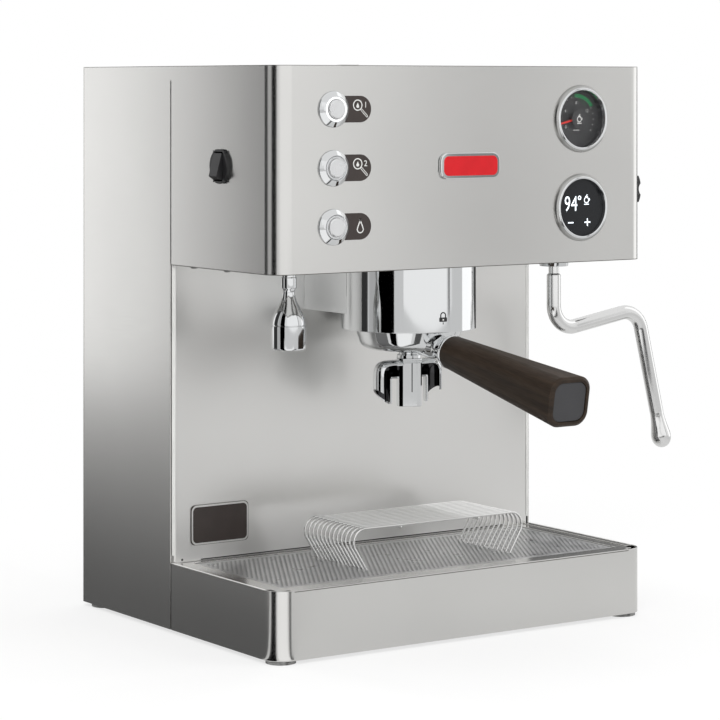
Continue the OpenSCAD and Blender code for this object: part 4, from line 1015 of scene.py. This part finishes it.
class ESPRESSO_OT_gauge(Maker):
    """Model the pressure gauge with its ring, dial and glass"""

    bl_idname = "espresso.gauge"
    bl_label = "Pressure Gauge"

    def execute(self, context):
        ring = [(19.7, 0), (19.7, 2.1), (19.95, 2.75), (20.4, 3.0), (20.9, 3.0), (21.4, 2.8), (21.6, 2.55),
                (21.6, 0), (19.7, 0)]
        skirt = [(21.5, 0), (21.5, 2.5), (22.4, 2.3), (23.0, 1.7), (23.4, 0.8), (23.5, 0), (21.5, 0)]
        for name, centre in (("gauge", GAUGE), ("display", DISPLAY)):
            # The skirt's darker metal is painted shade on each ring's outer flank.
            for part, rings, material in (("_skirt", skirt, "skirt"), ("_ring", ring, "chrome")):
                faced(name + part, rings, centre, material, "chrome", ["instrument_rings"], 128)
        smoothed("gauge_case", "dial")
        x, z = GAUGE.x, GAUGE.z
        y = box("gauge_needle")[1].y + 0.28
        self.scale(x, y, z)
        arc = flat_ring("dial_good_range", 17.3, 14.8, 0.06, 40, math.radians(-5), math.radians(62),
                        (x, y - 0.03, z))
        rides(arc, "good", "black_plastic")
        self.needle(x, y, z)
        disc = [(0, -1.55), (6.2, -1.55), (6.3, -1.62), (6.3, -1.7), (0, -1.7)]
        faced("dial_cover", disc, GAUGE, "dial", "black_plastic", sides=64)
        rides(cup_sign("dial_cup", 5.4, (x, z), FRONT + 1.52), "print", "black_plastic")
        glass = [(0, -0.05), (19.6, -0.05), (19.85, -0.3), (19.85, -1.4), (0, -1.4)]
        faced("gauge_window", glass, GAUGE, "glass", "clear_glass", ["gauge_glass"])
        return DONE

    def scale(self, x, y, z):
        """The printed strokes and numbers. A plain line stands where a unit would."""
        dial = look().dial
        inner, outer, numbers, sixteenth = 14.7, 15.5, 10.9, dial.span / 16
        marks = []
        for i in range(dial.ticks + 1):
            angle = -dial.span / 2 + i * dial.span / dial.ticks
            across, up = math.sin(angle), math.cos(angle)
            ends = (x + inner * across, z + inner * up), (x + outer * across, z + outer * up)
            marks.append(bar("tick", *ends, 0.5, y))
        for i in range(0, 13, 4):
            angle = -dial.span / 2 + i * sixteenth
            place = (x + numbers * math.sin(angle), y, z + numbers * math.cos(angle))
            marks.append(lettered("number", str(i), 2.2, place))
        marks.append(bar("unit_line", (x - 2.6, z - 8), (x + 2.6, z - 8), 0.6, y))
        rides(joined("dial_scale", marks), "faint", "black_plastic")

    def needle(self, x, y, z):
        """The pointer and its hub."""
        angle = math.radians(13)
        tip, root = ((x - away * math.cos(angle), z - away * math.sin(angle)) for away in (17.4, 1.5))
        blade = bar("needle_blade", tip, root, 1.15, box("gauge_needle")[0].y + 0.5, 0.4)
        rings = [(0, 2.1), (1.7, 2.1), (2.1, 1.7), (2.2, 0.9), (0.8, 0.8), (0.8, 0.2), (0, 0.2)]
        hub = settle(turned("needle_hub", rings, 48), FACING, (x, y - 0.1, z))
        pointer = smooth(joined("gauge_pointer", [blade, hub]))
        rides(pointer, "needle", "needle_red", "gauge_needle", body="gauge_needle")


class ESPRESSO_OT_display(Maker):
    """Model the temperature display"""

    bl_idname = "espresso.display"
    bl_label = "Temperature Display"

    def execute(self, context):
        smoothed("display_case", "black")
        glass = [(0, -0.05), (19.3, -0.05), (19.7, -0.15), (19.88, -0.4), (19.88, -1.4), (0, -1.4)]
        faced("display_window", glass, DISPLAY, "screen", "screen", ["display_glass"])
        x, z, y, tall, stroke = DISPLAY.x, DISPLAY.z, FRONT + 0.02, 10.9, 0.85
        lit = [
            lettered("display_nine", "9", tall, (x - 11.7, y, z + 2.1), 0.74, 0.06),
            lettered("display_four", "4", tall, (x - 5.7, y, z + 2.1), 0.80, 0.06),
            flat_ring("display_degree", 1.5, 0.75, THIN, 32, place=(x - 1.0, y, z + 6.6)),
            cup_sign("display_cup", 5.8, (x + 5.2, z + 5.4), y),
            bar("display_minus", (x - 11.2, z - 10.5), (x - 6.4, z - 10.5), stroke, y),
            bar("display_plus", (x + 3.4, z - 10.5), (x + 8.6, z - 10.5), stroke, y),
            bar("display_plus_up", (x + 6.0, z - 13.1), (x + 6.0, z - 7.9), stroke, y),
        ]
        rides(joined("display_digits", lit), "lit", "light_ring")
        return DONE


class ESPRESSO_OT_buttons(Maker):
    """Model the push buttons, their light rings and their signs"""

    bl_idname = "espresso.buttons"
    bl_label = "Push Buttons"

    def execute(self, context):
        softened("button_switches", "chrome")
        softened("label_plates", "label", 0.12)
        ring = [(7.15, -0.9), (7.15, 3.86), (7.2, 3.92), (7.58, 3.92), (7.66, 3.84), (7.66, -0.9),
                (7.15, -0.9)]
        sleeve = [(6.4, -0.9), (6.4, 3.8), (6.5, 3.9), (7.04, 3.9), (7.1, 3.84), (7.1, -0.9), (6.4, -0.9)]
        y = FRONT - 0.84
        for index, node in enumerate(("one_cup_button", "two_cup_button", "water_button")):
            centre = middle(node)
            softened(node, "button", 0.45, 3)
            for part, rings, material in (("_light", ring, "ring_off" if index else "ring_on"),
                                          ("_sleeve", sleeve, "button")):
                faced(node + part, rings, centre, material, "light_ring", ["light_rings"], 72)
            if index < 2:
                self.portion(node + "_sign", str(index + 1), centre.x + 18.7, centre.z + 2.6, y)
            else:
                sign = drop_shape(node + "_sign", 5.6, 9.8, (centre.x + 20.7, centre.z + 0.3), y, 0.75)
                rides(sign, "print", "label")
        corner = box("label_plates")[0]
        # The plate's edge is painted shade: a dark outline around the raised plate.
        for part, wide, high, proud, round_edge, material in (
            ("edge", 46.1, 27.6, 0, 4.2, "line"), ("rim", 45.5, 27.0, 0.06, 3.9, "wall"),
            ("face", 43.4, 24.6, 0.12, 3.1, "label"),
        ):
            place = (corner.x + 23, WALL - 0.75 - proud, corner.z + 13.75)
            plate("name_plate_" + part, (wide, 0.3, high), place, material, "label", round_edge)
        return DONE

    def portion(self, name, digit, x, z, y):
        """A portafilter seen from above with one drop in it, and the number of cups."""
        parts = [flat_ring("bowl", 3.7, 3.0, THIN, 40, place=(x, y, z)),
                 drop_shape("seed", 2.3, 3.5, (x, z - 0.1), y),
                 lettered("number", digit, 4.0, (x + 6.3, y, z))]
        corners = [(x + 2.3, z - 3.1), (x + 3.1, z - 2.3), (x + 8.0, z - 7.2), (x + 7.2, z - 8.0)]
        parts += [bar("stroke", a, b, 0.4, y) for a, b in zip(corners, corners[1:] + corners[:1])]
        rides(joined(name, parts), "print", "label")


class ESPRESSO_OT_badge(Maker):
    """Model the bare red badge in its chrome rim"""

    bl_idname = "espresso.badge"
    bl_label = "Badge"

    def execute(self, context):
        low, high = box("badge")
        centre, size = (low + high) / 2, high - low
        rim = slab("badge_frame", (size.x, size.y - 0.02, size.z), centre, 6.2, "Y", 10)
        rides(broken_edges(rim, 0.9, 4), "chrome", "chrome", "badge")
        face = slab("badge_plate", (45.2, 0.9, 13.4), (centre.x, low.y + 0.4, centre.z), 4.0, "Y", 10)
        rides(broken_edges(face, 0.25, 3), "enamel", "red_enamel")
        return DONE


class ESPRESSO_OT_switch(Maker):
    """Model the power switch and the steam knob"""

    bl_idname = "espresso.switch"
    bl_label = "Switch and Knob"

    def execute(self, context):
        softened("rocker_case", "black", 0.8, 4)
        softened("power_rocker", "black", 1.3, 5)
        softened("steam_knob", "black", 0.9, 3)
        softened("power_inlet", "dark", 0.3)
        return DONE


class ESPRESSO_OT_grid(Maker):
    """Model the perforated grid of the drip tray"""

    bl_idname = "espresso.grid"
    bl_label = "Drip Grid"

    def execute(self, context):
        sizes = look().grid
        pitch, row, plain = sizes.pitch, sizes.pitch * math.cos(math.radians(30)), 2.6 * MM
        low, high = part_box("drip_grid")
        columns = int((high.x - low.x - 2 * plain) / pitch)
        pairs = int((high.y - low.y - 2 * plain) / row / 2)
        width, depth, middle_y = columns * pitch, pairs * 2 * row, (low.y + high.y) / 2
        start = Vector((-width / 2 + pitch / 2, middle_y - depth / 2 + row / 2, high.z))
        parts = []
        for count, shift in ((columns, (0, 0, 0)), (columns - 1, (pitch / 2, row, 0))):
            cell = self.cell(pitch, row, sizes.hole)
            cell.data.transform(Matrix.Translation(start + Vector(shift)))
            parts.append(self.repeated(cell, count, (pitch, 0, 0)))
        for x in (-width / 2 + pitch / 4, width / 2 - pitch / 4):
            end = started("grid_row_end", "plane", size=1)
            size = Matrix.Diagonal((pitch / 2, row, 1, 1))
            end.data.transform(Matrix.Translation((x, start.y + row, high.z)) @ size)
            parts.append(end)
        field = self.repeated(joined("grid_field", parts), pairs, (0, 2 * row, 0))
        clean(field, 0.01, outward=False)
        border = self.border(low, high, width / 2, depth / 2, middle_y)
        sheet = clean(joined("grid_sheet", [field, border]), 0.01, outward=False)
        modified(sheet, "SOLIDIFY", thickness=sizes.sheet, offset=-1)
        rides(smooth(sheet, 40), "grid", "brushed_steel", "drip_grid", body="drip_grid")
        return DONE

    def cell(self, width, depth, hole):
        """One rectangle of sheet around a round hole. Sizes in metres."""
        obj = started("grid_cell", "circle", vertices=8, radius=hole / 2)
        with editing(obj):
            extruded(0, 0, 0)
            with reshaped(obj) as mesh:
                for vertex in (v for v in mesh.verts if v.select):
                    x, y = vertex.co.x, vertex.co.y
                    if abs(abs(x) - abs(y)) < 1e-6:
                        vertex.co.x, vertex.co.y = math.copysign(width / 2, x), math.copysign(depth / 2, y)
                    else:
                        share = min(width / 2 / max(abs(x), 1e-9), depth / 2 / max(abs(y), 1e-9))
                        vertex.co.x, vertex.co.y = x * share, y * share
            bpy.ops.mesh.select_all(action="SELECT")
            bpy.ops.mesh.normals_make_consistent(inside=False)
        if obj.data.polygons[0].normal.z < 0:
            obj.data.flip_normals()
        return obj

    def repeated(self, obj, count, step):
        return modified(obj, "ARRAY", count=count, use_relative_offset=False, use_constant_offset=True,
                        constant_offset_displace=step)

    def border(self, low, high, half_width, half_depth, middle_y):
        """The plain border around the holes."""
        obj = started("grid_border", "plane", size=1)
        size = Matrix.Diagonal((high.x - low.x, high.y - low.y, 1, 1))
        obj.data.transform(Matrix.Translation((0, middle_y, high.z)) @ size)
        with editing(obj):
            bpy.ops.mesh.inset(thickness=2 * MM)
            with reshaped(obj) as mesh:
                for co in (v.co for v in mesh.verts if v.select):
                    co.x = math.copysign(half_width, co.x)
                    co.y = middle_y + math.copysign(half_depth, co.y - middle_y)
            bpy.ops.mesh.delete(type="FACE")
        return obj


class ESPRESSO_OT_riser(Maker):
    """Finish the wire riser for the cups"""

    bl_idname = "espresso.riser"
    bl_label = "Cup Riser"

    def execute(self, context):
        smoothed("cup_riser", "wire", 50)
        return DONE


class ESPRESSO_OT_inner(Maker):
    """Finish the tank, boilers, pump, valves and lines"""

    bl_idname = "espresso.inner"
    bl_label = "Inner Works"

    def execute(self, context):
        softened("water_tank", "tank", 0.5)
        for material, nodes in (
            ("zinc", ("floor_pan", "tank_bay", "fasteners", "heating_elements")),
            ("satin", ("pump_plunger", "steam_boiler")),
            ("brass", ("coffee_boiler", "pressure_valves", "steam_valve", "valve_needle")),
            ("copper", ("pipes",)), ("hose", ("hoses",)), ("rubber", ("group_gasket", "pump_mounts")),
            ("dark", ("solenoid_valves", "pump_body", "control_box")),
        ):
            for node in nodes:
                smoothed(node, material)
        return DONE


# ---------- stage; its places and sizes are in metres ----------


def seen(tree, shown, lighting):
    """Tells the camera's and the reflections' rays from those that light, and gives each its strength."""
    def either(first, second):
        return add_node(tree, "Math", {0: first, 1: second}, operation="MAXIMUM").outputs[0]

    path = add_node(tree, "LightPath").outputs
    looked = either(path["Is Camera Ray"], either(path["Is Glossy Ray"], path["Is Transmission Ray"]))
    level = add_node(tree, "MapRange", {"Value": looked, "To Min": lighting, "To Max": shown}).outputs[0]
    return looked, either(path["Is Camera Ray"], level)


class ESPRESSO_OT_stage(Maker):
    """Set the floor, the soft studio light and the camera"""

    bl_idname = "espresso.stage"
    bl_label = "Stage"

    def execute(self, context):
        self.camera()
        self.world()
        self.floor()
        self.lamps()
        self.flags()
        return DONE

    def camera(self):
        deselect()
        bpy.ops.object.camera_add(location=(-1.09223, -1.601997, 0.374038),
                                  rotation=(math.pi / 2, 0, math.radians(-34.26)))
        camera = bpy.context.scene.camera = bpy.context.object
        camera.name = "product_camera"
        camera.data.sensor_width = 36
        camera.data.lens = 135.63
        camera.data.shift_y = -0.3799
        camera.data.clip_end = 50

    def world(self):
        scene = bpy.context.scene
        scene.view_settings.view_transform = "Standard"
        scene.world = scene.world or bpy.data.worlds.new("studio")
        scene.world.use_nodes = True
        tree = scene.world.node_tree
        tree.nodes.clear()
        sky = add_node(tree, "Background", {0: (1, 1, 1, 1), 1: seen(tree, 0.95, 0.42)[1]})
        add_node(tree, "OutputWorld", {0: sky.outputs[0]})

    def floor(self):
        """A pale floor that catches the shadow and turns white away from the machine."""
        floor = started("studio_floor", "plane", size=16)
        made = Nodes("pale_floor").set(Base_Color=(0.86, 0.86, 0.855), Roughness=0.9)
        looked, strength = seen(made.tree, 0.74, 0.0)
        glow = made.node("Emission", {"Color": (1, 1, 1, 1), "Strength": strength})
        away = made.node("VectorMath", {0: made.place}, operation="LENGTH").outputs["Value"]
        far = made.node("MapRange", {"Value": away, "From Min": 0.25, "From Max": 0.6, "To Min": 0.7})
        share = made.node("Math", {0: looked, 1: far.outputs[0]}, operation="MULTIPLY")
        ends = {0: share.outputs[0], 1: made.shader.outputs[0], 2: glow.outputs[0]}
        floor.data.materials.append(made.shown_as(made.node("MixShader", ends)))
        floor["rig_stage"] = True

    def lamps(self):
        for name, place, size, watts in (
            ("soft_key", (-1.9, -2.2, 2.2), 1.8, 55), ("soft_fill", (1.8, -1.6, 1.8), 1.8, 22),
            ("soft_top", (0.1, 0.3, 2.6), 2.2, 40),
        ):
            deselect()
            bpy.ops.object.light_add(type="AREA", location=place)
            lamp = bpy.context.object
            lamp.name = name
            lamp.data.shape = "DISK"
            lamp.data.size = size
            lamp.data.energy = watts
            aim = Vector((0, 0, 0.2)) - Vector(place)
            lamp.rotation_euler = aim.to_track_quat("-Z", "Y").to_euler()
            lamp.visible_glossy = False

    def flags(self):
        """Cards that only reflections see. Upright ones have two ends, flat ones four corners."""
        for name, (x0, y0), (x1, y1), low, high, level, fades in (
            ("rear_card", (-0.85, 0.6), (-0.85, 3.5), -0.1, 2, 1.33, (0, 0.2)),
            ("side_card", (-0.8, 0.17), (-0.8, 1.25), -0.1, 2, 0.04, (0.05, 0.42)),
            ("grey_card", (-0.8, -0.07), (-0.8, 0.2), -0.1, 2, 0.5, (0, 0.3)),
            ("left_card", (-1.5, -0.93), (-1.5, -0.08), -0.1, 2, 0.0, (0.01,)),
            ("front_card", (-2.0, -2.1), (1.33, -2.1), -0.1, 2, 1.12, (0, 0.03)),
            ("gap_card", (1.40, -2.1), (1.60, -2.1), -0.1, 2, 0.3, (0.1, 0.1)),
            ("dip_card", (1.40, -2.12), (2.05, -2.12), -0.1, 2, 0.92, (0.2, 0.4)),
            ("right_card", (1.3, 0.14), (1.3, -0.64), 0.0, 2, 1.4, (0.03, 0.03)),
            ("back_card", (0.2, 0.9), (2.8, 0.9), -0.1, 0.5, 0.07, (0, 0, 0, 0.2)),
        ):
            self.card(name, [(x0, y0, low), (x1, y1, low), (x1, y1, high), (x0, y0, high)], level, fades)
        for name, height, level, fades, corners in (
            ("floor_card", 0.002, 0.12, (0.96,),
             ((-1.05, 0.08), (-0.12, -0.118), (-0.12, 2.6), (-1.05, 2.6))),
            ("wedge_card", 0.003, 0.0, (),
             ((-1.8, -0.98), (-0.152, -0.126), (-0.152, -0.117), (-1.8, -0.071))),
            ("pale_wedge", 0.003, 1.15, (),
             ((-1.24, -0.84), (-0.151, -0.128), (-0.141, -0.131), (-0.07, -1.43))),
            ("grey_wedge", 0.003, 0.1, (),
             ((-0.141, -0.131), (-0.139, -0.131), (0.40, -1.20), (0.11, -1.30))),
        ):
            self.card(name, [(x, y, height) for x, y in corners], level, fades)

    def card(self, name, points, level, fades):
        """A glowing card. Fades tell how far its first, second, lower and upper side thin out."""
        card = started(name, "plane", size=1)
        corners = [(False, False), (True, False), (True, True), (False, True)]
        for vertex in card.data.vertices:
            vertex.co = points[corners.index((vertex.co.x > 0, vertex.co.y > 0))]
        made = Nodes(name)
        glow = made.node("Emission", {"Color": (1, 1, 1, 1), "Strength": level})
        parts = made.node("SeparateXYZ", {0: made.node("TexCoord").outputs["UV"]})
        cover = made.node("Value").outputs[0]
        cover.default_value = 1
        for edge, fade in enumerate(fades):
            if fade:
                across = parts.outputs[edge // 2]
                if edge % 2:
                    across = made.node("Math", {0: 1.0, 1: across}, operation="SUBTRACT").outputs[0]
                limits = {"Value": across, "From Max": fade}
                ramp = made.node("MapRange", limits, interpolation_type="SMOOTHSTEP").outputs[0]
                cover = made.node("Math", {0: cover, 1: ramp}, operation="MULTIPLY").outputs[0]
        open_part = made.node("BsdfTransparent")
        mixed = made.node("MixShader", {0: cover, 1: open_part.outputs[0], 2: glow.outputs[0]})
        card.data.materials.append(made.shown_as(mixed))
        for ray in ("camera", "diffuse", "shadow", "transmission"):
            setattr(card, "visible_" + ray, False)
        card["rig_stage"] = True


# ---------- panel and running ----------

MAKERS = (
    ESPRESSO_OT_sheets, ESPRESSO_OT_group, ESPRESSO_OT_portafilter, ESPRESSO_OT_spout, ESPRESSO_OT_handle,
    ESPRESSO_OT_tap, ESPRESSO_OT_wand, ESPRESSO_OT_gauge, ESPRESSO_OT_display, ESPRESSO_OT_buttons,
    ESPRESSO_OT_badge, ESPRESSO_OT_switch, ESPRESSO_OT_grid, ESPRESSO_OT_riser, ESPRESSO_OT_inner,
    ESPRESSO_OT_stage,
)


class ESPRESSO_PT_pieces(bpy.types.Panel):
    """Sizes, colours and pieces of the espresso machine"""

    bl_idname = "ESPRESSO_PT_pieces"
    bl_label = "Espresso Machine"
    bl_space_type = "VIEW_3D"
    bl_region_type = "UI"
    bl_category = "Espresso"

    def draw(self, context):
        layout = self.layout
        sizes = context.scene.espresso
        for part in ("steel", "grid", "handle", "dial"):
            group, frame_box = getattr(sizes, part), layout.box()
            frame_box.label(text=part.capitalize())
            for name in group.__annotations__:
                frame_box.prop(group, name)
        layout.prop(sizes, "enamel")
        for maker in MAKERS:
            layout.operator(maker.bl_idname)


CLASSES = (
    ESPRESSO_SteelLook, ESPRESSO_GridSizes, ESPRESSO_HandleSizes, ESPRESSO_DialSizes, ESPRESSO_Look, *MAKERS,
    ESPRESSO_PT_pieces,
)


def register():
    for cls in CLASSES:
        bpy.utils.register_class(cls)
    bpy.types.Scene.espresso = PointerProperty(type=ESPRESSO_Look)


def unregister():
    del bpy.types.Scene.espresso
    for cls in reversed(CLASSES):
        bpy.utils.unregister_class(cls)


def corners():
    low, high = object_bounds()
    return [list(low), list(high)]


def main():
    register()
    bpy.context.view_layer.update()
    make_materials()
    for maker in MAKERS:
        group, name = maker.bl_idname.split(".")
        getattr(getattr(bpy.ops, group), name)()


if __name__ == "__main__":
    main()
